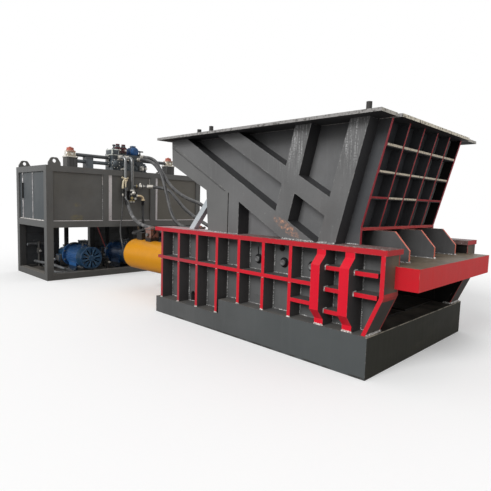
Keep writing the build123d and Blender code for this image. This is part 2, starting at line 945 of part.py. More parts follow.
def make_tank_strips():
    levels = pack_levels()
    z_range = (levels[1][1], levels[2][0])
    front_face = pack_front_x - tank_recess
    side_face = pack_side_y + tank_recess
    strips = []
    for post_y, post_wide, width in zip(middle_post_y, middle_post_widths, front_strip_widths):
        y = post_y + post_wide
        strips.append(block((front_face, front_face + strip_thickness), (y, y + width), z_range))
    for x, width in end_strips:
        strips.append(block((x, x + width), (side_face - strip_thickness, side_face), z_range))
    return strips


def make_lugs():
    lugs = []
    half = lug_width / 2
    corner = lug_height / 3
    base_z = pack_height
    for x in (pack_front_x - lug_thickness, pack_rear_x):
        for y in (pack_side_y + lug_setback + half, pack_end_y - lug_setback - half):
            outline = [
                (y - half, base_z), (y + half, base_z), (y + half, base_z + corner),
                (y + half / 2, base_z + lug_height), (y - half / 2, base_z + lug_height), (y - half, base_z + corner),
            ]
            hole_z = base_z + lug_height - lug_hole_drop
            hole = round_bar((x, y, hole_z), (x + lug_thickness, y, hole_z), lug_hole_radius)
            lug = plate_x(outline, x, x + lug_thickness)
            corners = [edge for edge in lug.edges().filter_by(Axis.X) if edge.center().Z > base_z]
            lugs.append(fillet(corners, lug_round) - hole)
    return lugs


def square_block(x, y, size, z_low, z_high):
    half = size / 2
    return block((x - half, x + half), (y - half, y + half), (z_low, z_high))


def make_filter_heads():
    foot_top = pack_height + filter_base_height
    heads = []
    for y in filter_places:
        head = square_block(filter_x, y, filter_base, pack_height, foot_top)
        heads.append(head + square_block(filter_x, y, filter_head, foot_top, foot_top + filter_head_height))
    return heads


def make_filter_caps():
    low = pack_height + filter_base_height + filter_head_height
    high = low + filter_cap_height
    return [round_bar((filter_x, y, low), (filter_x, y, high), filter_cap_radius) for y in filter_places]


def return_run(start_y, end_y, z):
    return round_bar((filter_x, start_y, z), (filter_x, end_y, z), pipe_radius)


def make_return_pipes():
    block_end_y = block_side_y + block_length
    first_y = filter_places[0] + filter_head / 2
    last_y = filter_places[1] - filter_head / 2
    stand_top = pack_height + stand_height
    stand = square_block(filter_x, stand_y, stand_size, pack_height, stand_top)
    foot_y = filter_places[0] + filter_base / 2
    stand += return_run(foot_y, block_side_y, lower_pipe_height)
    stand += return_run(first_y, block_side_y, upper_pipe_height)
    last = return_run(block_end_y, last_y, upper_pipe_height)
    return [stand, last]


def make_valve_block():
    top = pack_height + block_height
    y_range = (block_side_y, block_side_y + block_length)
    return block((block_rear_x, block_front_x), y_range, (pack_height, top))


def make_pilot_valves():
    top = pack_height + block_height
    x = (block_rear_x + block_front_x) / 2
    valves = []
    for y in solenoid_y:
        valve = square_block(x, y, solenoid_size, top, top + solenoid_height)
        cap_z = top + solenoid_height
        valves.append(valve + round_bar((x, y, cap_z), (x, y, cap_z + solenoid_cap_height), solenoid_cap_radius))
    for y in cover_y:
        valves.append(round_bar((x, y, top), (x, y, top + cover_height), cover_radius))
    return valves


def make_pilot_motor():
    top = pack_height + block_height
    x = (block_rear_x + block_front_x) / 2
    axis_z = top + pilot_radius
    barrel = round_bar((x - pilot_length / 2, pilot_y, axis_z), (x + pilot_length / 2, pilot_y, axis_z), pilot_radius)
    foot = block(
        (x - pilot_length / 3, x + pilot_length / 3),
        (pilot_y - pilot_radius / 2, pilot_y + pilot_radius / 2), (top, axis_z))
    return barrel + foot


def make_drop_pipes():
    long_points = [
        (block_front_x, long_drop_y, drop_head), (drop_x, long_drop_y, drop_head),
        (drop_x, long_drop_y, long_drop_foot), (long_drop_toe_x, long_drop_toe_y, long_drop_toe_z),
    ]
    short_points = [
        (block_front_x, short_drop_y, drop_head), (drop_x, short_drop_y, drop_head),
        (drop_x, short_drop_y, short_drop_foot),
    ]
    branch_points = [
        (drop_x, short_drop_y, branch_height), (drop_x, branch_end_y, branch_height),
        (branch_toe_x, branch_toe_y, branch_height),
    ]
    stub_points = [
        (drop_x, long_drop_y, pilot_stub_z), (drop_x, pilot_stub_y, pilot_stub_z),
        (drop_x, pilot_stub_y, pilot_stub_foot),
    ]
    long_drop = tube(long_points, drop_radius, [drop_bend, drop_bend])
    long_drop += tube(stub_points, pilot_stub_radius, [pilot_stub_bend])
    short_drop = tube(short_points, drop_radius, [drop_bend])
    short_drop += tube(branch_points, branch_radius, [drop_bend])
    collar_top = long_drop_foot + drop_bend + collar_length
    long_drop += round_bar(
        (drop_x, long_drop_y, collar_top), (drop_x, long_drop_y, collar_top + collar_length), collar_radius)
    foot = (drop_x, short_drop_y, short_drop_foot)
    short_drop += round_bar(foot, (drop_x, short_drop_y, short_drop_foot + collar_length), collar_radius)
    return [long_drop, short_drop]


def make_junction():
    y_range = (short_drop_y - junction_width / 2, short_drop_y + junction_width / 2)
    return block((pack_front_x - tank_recess, junction_front_x), y_range, (junction_low_z, short_drop_foot))


def make_brass_elbow():
    start_y = short_drop_y + junction_width / 2
    points = [(drop_x, start_y, elbow_height), (drop_x, elbow_y, elbow_height), (drop_x, elbow_y, elbow_foot)]
    return tube(points, elbow_radius, [elbow_bend])


def make_motor():
    axis = (0, motor_axis_height)
    motor = round_bar((motor_rear_x, *axis), (motor_front_x, *axis), motor_radius)
    fin_middle = motor_radius + fin_height / 2 - fin_thickness
    step = (360 - fin_gap_angle) / (fin_count - 1)
    for index in range(fin_count):
        turn = fin_gap_angle / 2 - 180 + index * step
        fin = Pos(0, 0, fin_middle) * Box(motor_length - 2 * motor_flange, fin_thickness, fin_height + fin_thickness)
        motor += Pos((motor_rear_x + motor_front_x) / 2, *axis) * Rot(turn, 0, 0) * fin
    motor += round_bar((motor_rear_x, *axis), (motor_rear_x + motor_flange, *axis), motor_flange_radius)
    motor += round_bar((motor_front_x - motor_flange, *axis), (motor_front_x, *axis), cowl_radius)
    middle_x = (motor_rear_x + motor_front_x) / 2
    foot_x = (middle_x - foot_length / 2, middle_x + foot_length / 2)
    for side in (-1, 1):
        y = side * foot_span / 2
        motor += block(foot_x, (y - foot_width / 2, y + foot_width / 2), (tray_top, tray_top + foot_thickness))
        inner_y = y - side * foot_width / 2
        leg = sorted((inner_y, inner_y + side * foot_thickness))
        motor += block(foot_x, leg, (tray_top, motor_axis_height))
    box_top = motor_axis_height + terminal_height
    box_x = (motor_rear_x + terminal_setback, motor_rear_x + terminal_setback + terminal_size)
    box_half = terminal_size / 2
    box_y = (terminal_offset - box_half, terminal_offset + box_half)
    motor += block(box_x, box_y, (motor_axis_height, box_top))
    bore_start = (motor_rear_x, *axis)
    return motor - round_bar(bore_start, (motor_front_x, *axis), shaft_radius + running_gap)


def make_cowl():
    axis = (0, motor_axis_height)
    cowl = round_bar((motor_front_x, *axis), (cowl_front_x, *axis), cowl_radius)
    inner_x = cowl_front_x - cowl_wall
    cowl -= round_bar((motor_front_x, *axis), (inner_x, *axis), cowl_radius - cowl_wall)
    slot_length = cowl_slot_outer - cowl_slot_inner
    for index in range(cowl_slots):
        turn = index * 360 / cowl_slots
        slot = Pos(0, 0, cowl_slot_inner + slot_length / 2) * Box(cowl_wall * 3, cowl_slot_width, slot_length)
        cowl -= Pos(inner_x, *axis) * Rot(turn, 0, 0) * slot
    return cowl


def make_rotor():
    axis = (0, motor_axis_height)
    hub_rear_x = motor_front_x + hub_length / 2
    hub_front_x = hub_rear_x + hub_length
    coupling_x = motor_rear_x - coupling_length - motor_flange
    rotor = round_bar((coupling_x, *axis), (hub_front_x, *axis), shaft_radius)
    rotor += round_bar((hub_rear_x, *axis), (hub_front_x, *axis), hub_radius)
    rotor += round_bar((coupling_x, *axis), (coupling_x + coupling_length, *axis), coupling_radius)
    for index in range(fan_blades):
        turn = index * 360 / fan_blades
        blade = Pos(0, 0, fan_radius / 2) * Box(hub_length, fan_blade, fan_radius)
        blade -= Pos(0, 0, 0) * Box(hub_length, hub_radius, hub_radius)
        rotor += Pos((hub_rear_x + hub_front_x) / 2, *axis) * Rot(turn, 0, 0) * blade
    return rotor


def make_bell():
    axis = (0, motor_axis_height)
    flange_x = motor_rear_x - bell_wall
    bell = round_bar((bell_rear_x, *axis), (motor_rear_x, *axis), bell_radius)
    bell += round_bar((flange_x, *axis), (motor_rear_x, *axis), motor_flange_radius)
    bell -= round_bar((bell_rear_x + bell_wall, *axis), (motor_rear_x, *axis), bell_bore)
    return bell - round_bar((bell_rear_x, *axis), (motor_rear_x, *axis), pump_nose_radius)


def make_pump():
    axis = (0, motor_axis_height)
    pump = round_bar((pump_rear_x, *axis), (bell_rear_x, *axis), pump_radius)
    middle_x = (pump_rear_x + bell_rear_x) / 2
    pump += round_bar((middle_x, *axis), (middle_x, 0, motor_axis_height + pump_port_height), pump_port_radius)
    return pump


def make_suction_pipe():
    middle_x = (pump_rear_x + bell_rear_x) / 2
    low = motor_axis_height + pump_port_height
    pipe = round_bar((middle_x, 0, low), (middle_x, 0, mid_beam_top), suction_radius)
    pipe += round_bar((middle_x, 0, low), (middle_x, 0, low + suction_flange), suction_flange_radius)
    top_flange_z = mid_beam_top - suction_flange
    pipe += round_bar((middle_x, 0, top_flange_z), (middle_x, 0, mid_beam_top), suction_flange_radius)
    return pipe


def at_motors(solid):
    return [Pos(0, y, 0) * solid for y in motor_places]


def make_hoses():
    for name, points in hose_points.items():
        radius = hose_thin_radii.get(name, hose_radius)
        radii = bends(points)
        hose = tube(points, radius, radii)
        length = FilletPolyline(*points, radius=radii).length
        section = Circle(radius).area
        print(name, "bend radii", [round(r) for r in radii], "length", round(length),
              "volume ratio", round(hose.volume / (section * length), 4))
        save(name, [hose])


os.makedirs("parts", exist_ok=True)
save("base_skid", [make_base()])
save("side_webs", both_sides(make_web()))
save("top_flanges", both_sides(make_flange()))
save("side_ribs", [piece for rib in make_ribs() for piece in both_sides(rib)])
save("heavy_columns", [piece for column in make_columns() for piece in both_sides(column)])
save("end_plates", both_sides(make_end_plate()))
save("guide_screws", [piece for screw in make_guide_screws() for piece in both_sides(screw)])
save("rear_plate", [make_rear_plate()])
save("bed_beams", make_bed_beams())
save("wear_liners", make_liners() + make_top_guides())
save("throat_beam", [make_throat_beam()])
save("front_beam", [make_front_beam()])
save("fixed_blades", make_fixed_blades())
save("hopper_walls", both_sides(make_hopper_wall()))
left_lattice, right_lattice = both_sides(make_lattice())
save("left_lattice", [left_lattice])
save("right_lattice", [right_lattice])
save("hopper_legs", both_sides(make_leg()))
save("leg_braces", both_sides(make_leg_brace()))
save("hopper_floor", [make_hopper_floor(), make_rear_wall()])
save("front_wall", make_front_wall())
save("front_grid", [make_front_grid()])
save("front_gussets", make_gussets())
save("hopper_rim", make_rim())
save("barrels", both_sides(make_barrel()))
save("glands", both_sides(make_gland()))
save("port_blocks", make_ports())
save("fill_blocks", make_fill_blocks())
save("knife_carriage", [make_carriage()])
save("moving_blades", make_moving_blades())
save("piston_rods", both_sides(make_rod()))
save("pistons", both_sides(make_piston()))
save("pack_posts", make_pack_posts())
save("pack_beams", make_pack_beams())
save("rear_sheets", make_rear_sheets())
save("pack_tray", [make_tray()])
save("oil_tank", make_tank())
save("tank_strips", make_tank_strips())
save("pack_lugs", make_lugs())
save("filter_heads", make_filter_heads())
save("filter_caps", make_filter_caps())
save("return_pipes", make_return_pipes())
save("valve_blocks", [make_valve_block(), make_junction()])
save("pilot_valves", make_pilot_valves())
save("pilot_motor", [make_pilot_motor()])
save("drop_pipes", make_drop_pipes())
save("brass_elbow", [make_brass_elbow()])
save("motors", at_motors(make_motor()))
save("fan_cowls", at_motors(make_cowl()))
save("bell_housings", at_motors(make_bell()))
save("pumps", at_motors(make_pump()))
save("suction_pipes", at_motors(make_suction_pipe()))
for number, rotor in enumerate(at_motors(make_rotor()), start=1):
    save(f"rotor_{number}", [rotor])
make_hoses()
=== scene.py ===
import itertools
import math
import random

import bmesh
import bpy
from mathutils import Matrix, Vector


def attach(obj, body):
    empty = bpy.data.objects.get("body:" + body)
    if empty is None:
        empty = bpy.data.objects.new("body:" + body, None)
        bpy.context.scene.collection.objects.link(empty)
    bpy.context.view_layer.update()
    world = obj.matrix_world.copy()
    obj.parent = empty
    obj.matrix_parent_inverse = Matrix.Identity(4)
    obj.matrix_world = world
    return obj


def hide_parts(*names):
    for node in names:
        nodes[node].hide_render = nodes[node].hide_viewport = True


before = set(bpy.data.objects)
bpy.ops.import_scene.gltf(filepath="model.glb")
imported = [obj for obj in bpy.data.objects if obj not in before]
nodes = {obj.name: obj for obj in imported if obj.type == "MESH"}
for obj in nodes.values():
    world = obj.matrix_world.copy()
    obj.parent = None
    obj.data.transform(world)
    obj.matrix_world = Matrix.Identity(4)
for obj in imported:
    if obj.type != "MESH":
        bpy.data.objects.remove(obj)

scene = bpy.context.scene
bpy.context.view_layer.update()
print("frame loaded,", len(nodes), "nodes")


# camera where the photographer stood: eye height, off the discharge corner
cameraSet = {
    "place": (3.460, -4.625, 1.544),
    "yaw": 134.31,
    "pitch": 5.61,
    "roll": -1.73,
    "focalPixels": 438.7,
    "framePixels": 491.0,
    "sensor": 36.0,
    "reach": 200.0,
}


def buildCamera():
    yaw, pitch, roll = (math.radians(cameraSet[k]) for k in ("yaw", "pitch", "roll"))
    ahead = Vector((math.cos(pitch) * math.cos(yaw), math.cos(pitch) * math.sin(yaw), -math.sin(pitch)))
    right = Vector((math.sin(yaw), -math.cos(yaw), 0.0))
    down = ahead.cross(right)
    tiltedRight = right * math.cos(roll) + down * math.sin(roll)
    tiltedDown = down * math.cos(roll) - right * math.sin(roll)
    turn = Matrix((tiltedRight, -tiltedDown, -ahead)).transposed().to_4x4()
    data = bpy.data.cameras.new("camera")
    data.sensor_width = cameraSet["sensor"]
    data.lens = cameraSet["sensor"] * cameraSet["focalPixels"] / cameraSet["framePixels"]
    data.clip_end = cameraSet["reach"]
    camera = bpy.data.objects.new("camera", data)
    camera.matrix_world = Matrix.Translation(cameraSet["place"]) @ turn
    scene.collection.objects.link(camera)
    scene.camera = camera


buildCamera()
print("camera placed")


# a socket with arithmetic, so that shader maths reads as sums
class Sock:
    def __init__(self, sheet, socket):
        self.sheet = sheet
        self.socket = socket

    def math(self, kind, other=None):
        values = {0: self} if other is None else {0: self, 1: other}
        return self.sheet.node("ShaderNodeMath", {"operation": kind}, values)

    def __add__(self, other):
        return self.math("ADD", other)

    def __radd__(self, other):
        return self.math("ADD", other)

    def __sub__(self, other):
        return self.math("SUBTRACT", other)

    def __rsub__(self, other):
        return self.sheet.node("ShaderNodeMath", {"operation": "SUBTRACT"}, {0: other, 1: self})

    def __mul__(self, other):
        return self.math("MULTIPLY", other)

    def __rmul__(self, other):
        return self.math("MULTIPLY", other)

    def __truediv__(self, other):
        return self.math("DIVIDE", other)

    def __gt__(self, other):
        return self.math("GREATER_THAN", other)

    def __lt__(self, other):
        return self.math("LESS_THAN", other)

    def abs(self):
        return self.math("ABSOLUTE")

    def most(self, other):
        return self.math("MAXIMUM", other)

    def step(self, low, high):
        settings = {"interpolation_type": "SMOOTHSTEP"}
        return self.sheet.node("ShaderNodeMapRange", settings, {"Value": self, "From Min": low, "From Max": high})


class Sheet:
    def __init__(self, name):
        self.material = bpy.data.materials.new(name)
        self.material.use_nodes = True
        self.tree = self.material.node_tree
        self.shader = self.tree.nodes["Principled BSDF"]
        coords = self.tree.nodes.new("ShaderNodeTexCoord")
        self.place = Sock(self, coords.outputs["Object"])
        self.x, self.y, self.z = self.split(self.place)
        self.nx, self.ny, self.nz = self.split(Sock(self, coords.outputs["Normal"]))

    def node(self, kind, settings=None, sockets=None, out=0):
        made = self.tree.nodes.new(kind)
        for key, value in (settings or {}).items():
            setattr(made, key, value)
        for key, value in (sockets or {}).items():
            if isinstance(value, Sock):
                self.tree.links.new(value.socket, made.inputs[key])
            else:
                made.inputs[key].default_value = value
        return Sock(self, made.outputs[out])

    def split(self, vector):
        parts = self.tree.nodes.new("ShaderNodeSeparateXYZ")
        self.tree.links.new(vector.socket, parts.inputs[0])
        return [Sock(self, parts.outputs[i]) for i in range(3)]

    def noise(self, scale, detail=4.0, rough=0.55, stretch=None, shift=(0, 0, 0)):
        place = self.place
        if stretch or any(shift):
            mapped = {"Vector": place, "Scale": stretch or (1, 1, 1), "Location": shift}
            place = self.node("ShaderNodeMapping", {}, mapped)
        grain = {"Vector": place, "Scale": scale, "Detail": detail, "Roughness": rough}
        return self.node("ShaderNodeTexNoise", {}, grain)

    def mix(self, factor, first, second):
        def colour(c):
            return c if isinstance(c, Sock) else (*c, 1.0)
        sockets = {0: factor, 6: colour(first), 7: colour(second)}
        return self.node("ShaderNodeMix", {"data_type": "RGBA"}, sockets, out=2)

    def layer(self, mask, colour):
        self.tone = self.mix(mask, self.tone, colour)

    def edge(self, radius):
        rounded = self.node("ShaderNodeBevel", {"samples": 4}, {"Radius": radius})
        flat = self.node("ShaderNodeNewGeometry", {}, {}, out="True Normal")
        turn = self.node("ShaderNodeVectorMath", {"operation": "DOT_PRODUCT"}, {0: rounded, 1: flat}, out="Value")
        return (1.0 - turn).step(0.01, 0.2)

    def feed(self, **sockets):
        names = {"colour": "Base Color", "rough": "Roughness", "metal": "Metallic"}
        for key, value in sockets.items():
            socket = self.shader.inputs[names[key]]
            if isinstance(value, Sock):
                self.tree.links.new(value.socket, socket)
            else:
                socket.default_value = (*value, 1.0) if key == "colour" else value

    def bump(self, height, strength, distance):
        made = self.node("ShaderNodeBump", {}, {"Height": height, "Strength": strength, "Distance": distance})
        self.tree.links.new(made.socket, self.shader.inputs["Normal"])


def assign(material, *names):
    for name in names:
        data = nodes[name].data
        data.materials.clear()
        data.materials.append(material)


# hoses: the same corner points as the solids, in metres
hoseSet = {
    "hose_far_rod": {"radius": 0.033, "length": 3.513, "points": (
        (-4.850, 0.610, 2.435), (-4.400, 0.610, 2.435), (-4.050, 0.580, 2.098), (-3.688, 0.555, 1.787),
        (-3.167, 0.535, 1.575), (-2.565, 0.500, 1.472), (-2.150, 0.440, 1.000), (-1.790, 0.440, 1.000))},
    "hose_far_fill": {"radius": 0.033, "length": 2.707, "points": (
        (-4.850, 0.530, 2.375), (-4.420, 0.530, 2.375), (-3.950, 0.490, 2.110), (-3.740, 0.491, 1.640),
        (-3.560, 0.498, 1.180), (-3.210, 0.505, 1.020), (-2.820, 0.505, 1.020))},
    "hose_far_second": {"radius": 0.033, "length": 3.076, "points": (
        (-4.560, 0.590, 1.812), (-4.290, 0.887, 1.812), (-3.930, 0.880, 1.560), (-3.500, 0.790, 1.340),
        (-3.000, 0.700, 1.190), (-2.480, 0.650, 1.035), (-2.130, 0.570, 0.965), (-1.790, 0.570, 0.965))},
    # near rod hose: cover lifted as painted light on its dimly lit side
    "hose_near_rod": {"radius": 0.033, "length": 2.930, "rubber": "dustAndPaintedLight", "points": (
        (-4.530, 0.07425, 1.480), (-4.290, 0.027, 1.240), (-3.880, -0.090, 1.105), (-3.320, -0.250, 1.055),
        (-2.750, -0.340, 1.040), (-2.250, -0.505, 0.965), (-1.790, -0.505, 0.965))},
    "hose_near_cap": {"radius": 0.025, "length": 2.210, "rubber": "black", "points": (
        (-4.610, 0.500, 1.500), (-4.610, 0.500, 1.170), (-4.310, 0.340, 0.990), (-3.850, 0.030, 0.950),
        (-3.480, -0.505, 0.935), (-3.125, -0.505, 0.935))},
    "hose_pilot": {"radius": 0.014, "length": 2.322, "points": (
        (-4.610, 0.030, 1.640), (-4.610, 0.030, 1.300), (-4.590, -0.050, 0.900), (-4.390, -0.110, 0.640),
        (-4.000, -0.290, 0.520), (-3.620, -0.505, 0.480), (-3.235, -0.505, 0.480))},
}


# rubber shades: a factor on each hose cover's tone; the near rod hose's cover is raised as painted light on its dimly
# lit side
rubberShades = {"plain": 1.15, "dustAndPaintedLight": 2.5, "black": 0.3}


def hoseRubber(kind):
    s = Sheet("hoseRubber_" + kind)
    clean, dusted = ([c * rubberShades[kind] for c in tone] for tone in ((0.042, 0.042, 0.043), (0.135, 0.133, 0.13)))
    dust = s.noise(9.0, 5.0).step(0.45, 0.75)
    grain = s.noise(240.0, 2.0)
    s.feed(colour=s.mix(dust, clean, dusted), rough=0.42 + dust * 0.22)
    s.bump(grain, 0.25, 0.001)
    return s.material


def buildHoses():
    rubbers = {kind: hoseRubber(kind) for kind in rubberShades}
    for name, settings in hoseSet.items():
        curve = bpy.data.curves.new(name + "_line", "CURVE")
        curve.dimensions = "3D"
        curve.bevel_depth = settings["radius"]
        curve.bevel_resolution = 6
        curve.resolution_u = 16
        curve.use_fill_caps = True
        line = curve.splines.new("NURBS")
        line.points.add(len(settings["points"]) - 1)
        for point, place in zip(line.points, settings["points"]):
            point.co = (*place, 1.0)
        line.order_u = 3
        line.use_endpoint_u = True
        curve.materials.append(rubbers[settings.get("rubber", "plain")])
        hose = bpy.data.objects.new(name + "_line", curve)
        scene.collection.objects.link(hose)
        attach(hose, "machine")
        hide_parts(name)


buildHoses()
print("hoses laid")


# every coat starts from the same cloudy, brushed base and takes layers on top
def coated(name, colour, spread=0.14, shine=0.2):
    s = Sheet(name)
    s.shader.inputs["Specular IOR Level"].default_value = shine
    s.cloud = s.noise(1.3, 6.0, 0.62)
    s.brush = s.noise(5.0, 4.0, 0.6, stretch=(5.0, 5.0, 0.35))
    s.fine = s.noise(85.0, 3.0)
    s.tone = s.mix(s.cloud.step(0.3, 0.7), tint(colour, 1 - spread), tint(colour, 1 + spread))
    s.layer(s.brush.step(0.52, 0.78) * 0.4, tint(colour, 1.3))
    return s


def tint(colour, amount):
    return tuple(channel * amount for channel in colour)


def settled(s, rough=0.5, dust=0.0, chips=0.0, chipColour=(0.3, 0.28, 0.25), peel=0.25):
    s.layer(s.fine.step(0.6, 0.76) * 0.22, (0.02, 0.019, 0.018))
    if dust:
        s.layer(s.nz.step(0.55, 0.9) * s.noise(4.0, 6.0, shift=(3, 1, 7)).step(0.3, 0.7) * dust, (0.21, 0.18, 0.15))
    if chips:
        s.layer(s.edge(0.012) * s.noise(26.0, 4.0).step(0.5, 0.62) * chips, chipColour)
    s.feed(colour=s.tone, rough=rough + (s.cloud - 0.5) * 0.3 + (s.brush - 0.5) * 0.15)
    s.bump(s.fine * 0.4 + s.brush + s.cloud * 3.0, peel, 0.004)
    return s.material


# the frame's greys and reds
frameSet = {
    "base": (0.098, 0.1, 0.1),
    # dark olive of the skid's front end: dirt, and painted shade under the beam
    "baseEndDirtAndShade": (0.036, 0.035, 0.027),
    "web": (0.115, 0.116, 0.116),
    "lattice": (0.138, 0.138, 0.138),
    # near black for the lattice pockets' side faces: painted shade
    "pocketShade": (0.042, 0.042, 0.044),
    "wall": (0.165, 0.166, 0.168),
    # near black for faces inside the enclosed throat and hopper: painted shade
    "insideShade": (0.007, 0.0065, 0.006),
    "leg": (0.145, 0.145, 0.143),
    "red": (0.66, 0.012, 0.028),
    "cream": (0.97, 0.86, 0.68),
    "khaki": (0.17, 0.135, 0.095),
    "spatter": (0.66, 0.64, 0.62),
}


def basePaint():
    s = coated("basePaint", frameSet["base"])
    s.layer(s.x.step(-1.5, 1.6) * (s.ny < -0.5) * 0.7, (0.076, 0.086, 0.088))
    # the front end under the beam's overhang is dark olive: real dirt, and painted shade from the overhang
    end = (s.nx > 0.5) * s.x.step(1.5, 1.6)
    s.layer(end, frameSet["baseEndDirtAndShade"])
    s.layer(end * s.noise(2.0, 5.0, stretch=(1, 1, 3)).step(0.5, 0.8) * 0.6, (0.055, 0.052, 0.038))
    s.layer((s.z > 0.383) * (s.x > 1.6) * s.noise(14.0, 4.0).step(0.3, 0.55), (0.42, 0.38, 0.3))
    s.layer((s.z < 0.02) * s.noise(9.0).step(0.4, 0.6) * 0.7, (0.03, 0.028, 0.025))
    # painted shade: the skid's top faces between the webs, inside the throat, are near black
    s.layer((s.nz > 0.5) * (s.y.abs() < 0.97), (0.012, 0.011, 0.01))
    return settled(s, 0.52, dust=0.4, chips=0.5)


def webPaint():
    s = coated("webPaint", frameSet["web"])
    # painted shade: the webs' inner faces in the throat are near black
    s.layer(s.y.abs() < 0.885, frameSet["insideShade"])
    s.layer((s.z < 0.5) * s.noise(3.0, 5.0).step(0.45, 0.75) * 0.5, (0.05, 0.048, 0.045))
    return settled(s, 0.48, dust=0.4, chips=0.3)


def ribPaint():
    s = coated("ribPaint", (0.085, 0.08, 0.08))
    faded = s.mix(s.x.step(-1.45, 0.1), (0.36, 0.05, 0.065), frameSet["red"])
    s.layer(s.y.abs() > 1.148, redCoat(s, faded))
    return settled(s, 0.42, dust=0.25, chips=0.35)


# brighter and duller patches of the same red
def redCoat(s, bright=None, dull=None):
    patch = s.noise(7.0, 5.0, 0.65, shift=(2, 5, 1)).step(0.35, 0.75)
    return s.mix(patch * 0.5, bright or frameSet["red"], dull or (0.55, 0.022, 0.032))


def columnPaint():
    s = coated("columnPaint", (0.075, 0.07, 0.07))
    s.layer(s.nx.abs() < 0.5, redCoat(s, (0.72, 0.009, 0.028), (0.66, 0.012, 0.03)))
    return settled(s, 0.4, dust=0.2, chips=0.4)


def flangePaint():
    s = coated("flangePaint", (0.15, 0.092, 0.086), spread=0.3)
    mud = s.noise(11.0, 7.0, 0.7)
    s.layer(mud.step(0.42, 0.62) * 0.7, (0.25, 0.155, 0.145))
    s.layer(mud.step(0.6, 0.72) * 0.8, (0.06, 0.045, 0.042))
    near = s.y.abs().step(1.02, 1.07) * s.x.step(0.2, 0.5)
    dots = s.noise(60.0, 2.0, 0.5, shift=(4, 4, 4)).step(0.56, 0.62)
    s.layer(dots * near, frameSet["spatter"])
    s.layer(s.noise(46.0, 2.0, 0.5).step(0.62, 0.68) * 0.8, frameSet["spatter"])
    # painted shade: the flange's underside is darkened
    s.layer((s.nz < -0.5) * 0.8, (0.05, 0.045, 0.045))
    # pale pink over the rear tops: dust, and painted highlight
    dustAndPaintedLight = (s.nz > 0.5) * s.x.step(0.1, -0.45) * s.noise(5.0, 5.0).step(0.3, 0.5)
    s.layer(dustAndPaintedLight, (0.5, 0.31, 0.32))
    front = s.x.step(-1.4, 1.1)
    red = redCoat(s, s.mix(front, (0.5, 0.02, 0.034), (0.53, 0.016, 0.026)), (0.42, 0.026, 0.036))
    s.layer((s.y.abs() > 1.151).most(s.nx.abs() > 0.5), red)
    # painted light: the ends facing +X get a brighter red, a lit copy of the flange red
    s.layer((s.nx > 0.5) * 0.6, (0.62, 0.05, 0.05))
    s.layer((s.nz > 0.5) * (s.y.abs() > 1.135) * s.noise(16.0, 4.0).step(0.3, 0.6), red)
    return settled(s, 0.5, chips=0.6)


def endPlatePaint():
    s = coated("endPlatePaint", (0.075, 0.066, 0.058))
    face = (s.nx > 0.4) * s.z.step(0.7, 0.8)
    s.layer(face * 0.85, (0.15, 0.125, 0.09))
    s.layer(face * s.noise(3.0, 6.0).step(0.45, 0.7) * 0.6, (0.2, 0.15, 0.1))
    s.layer(face * s.y.abs().step(0.98, 1.14) * 0.6, (0.055, 0.052, 0.05))
    # painted shade: the end plates' inner faces in the throat are near black
    s.layer((s.y.abs() < 0.885) * (s.ny.abs() > 0.5), frameSet["insideShade"])
    trim = (s.y.abs() < 0.9) * (s.nx > 0.3)
    bend = ((s.z - 0.755).abs() < 0.035) * (s.nx > 0.3)
    s.layer(trim.most(bend), redCoat(s, (0.55, 0.05, 0.045), (0.34, 0.06, 0.05)))
    s.layer(s.y.abs() > 1.148, redCoat(s))
    return settled(s, 0.5, dust=0.3, chips=0.6)


def frontBeamPaint():
    s = coated("frontBeamPaint", frameSet["khaki"], spread=0.25)
    s.layer(s.noise(9.0, 7.0, 0.7).step(0.45, 0.65) * 0.6, (0.25, 0.21, 0.16))
    s.layer(s.noise(40.0, 3.0).step(0.58, 0.68) * 0.7, (0.07, 0.055, 0.04))
    # a thin dark line on the deck, running out toward the far corner
    across = (s.y - 0.204) * 0.867 - (s.x - 1.588) * 0.498
    along = (s.x - 1.588) * 0.867 + (s.y - 0.204) * 0.498
    s.layer((across.abs() < 0.012) * (along > -0.03) * (along < 0.36) * (s.nz > 0.5), (0.012, 0.01, 0.01))
    # painted shade: the beam's underside is near black
    s.layer((s.nz < -0.5) * 0.9, (0.02, 0.019, 0.018))
    # painted light: the face toward +X takes a brighter red than the sides, a lit copy of the same red
    side = redCoat(s, (0.6, 0.012, 0.022), (0.52, 0.02, 0.026))
    front = redCoat(s, (0.84, 0.04, 0.042), (0.76, 0.055, 0.055))
    red = s.mix(s.nx > 0.5, side, front)
    red = s.mix(((s.x - 1.72).abs() < 0.012) * 0.5, red, (0.7, 0.05, 0.06))
    s.layer(s.nz.abs() < 0.5, red)
    return settled(s, 0.46, chips=0.5, chipColour=(0.4, 0.3, 0.22))


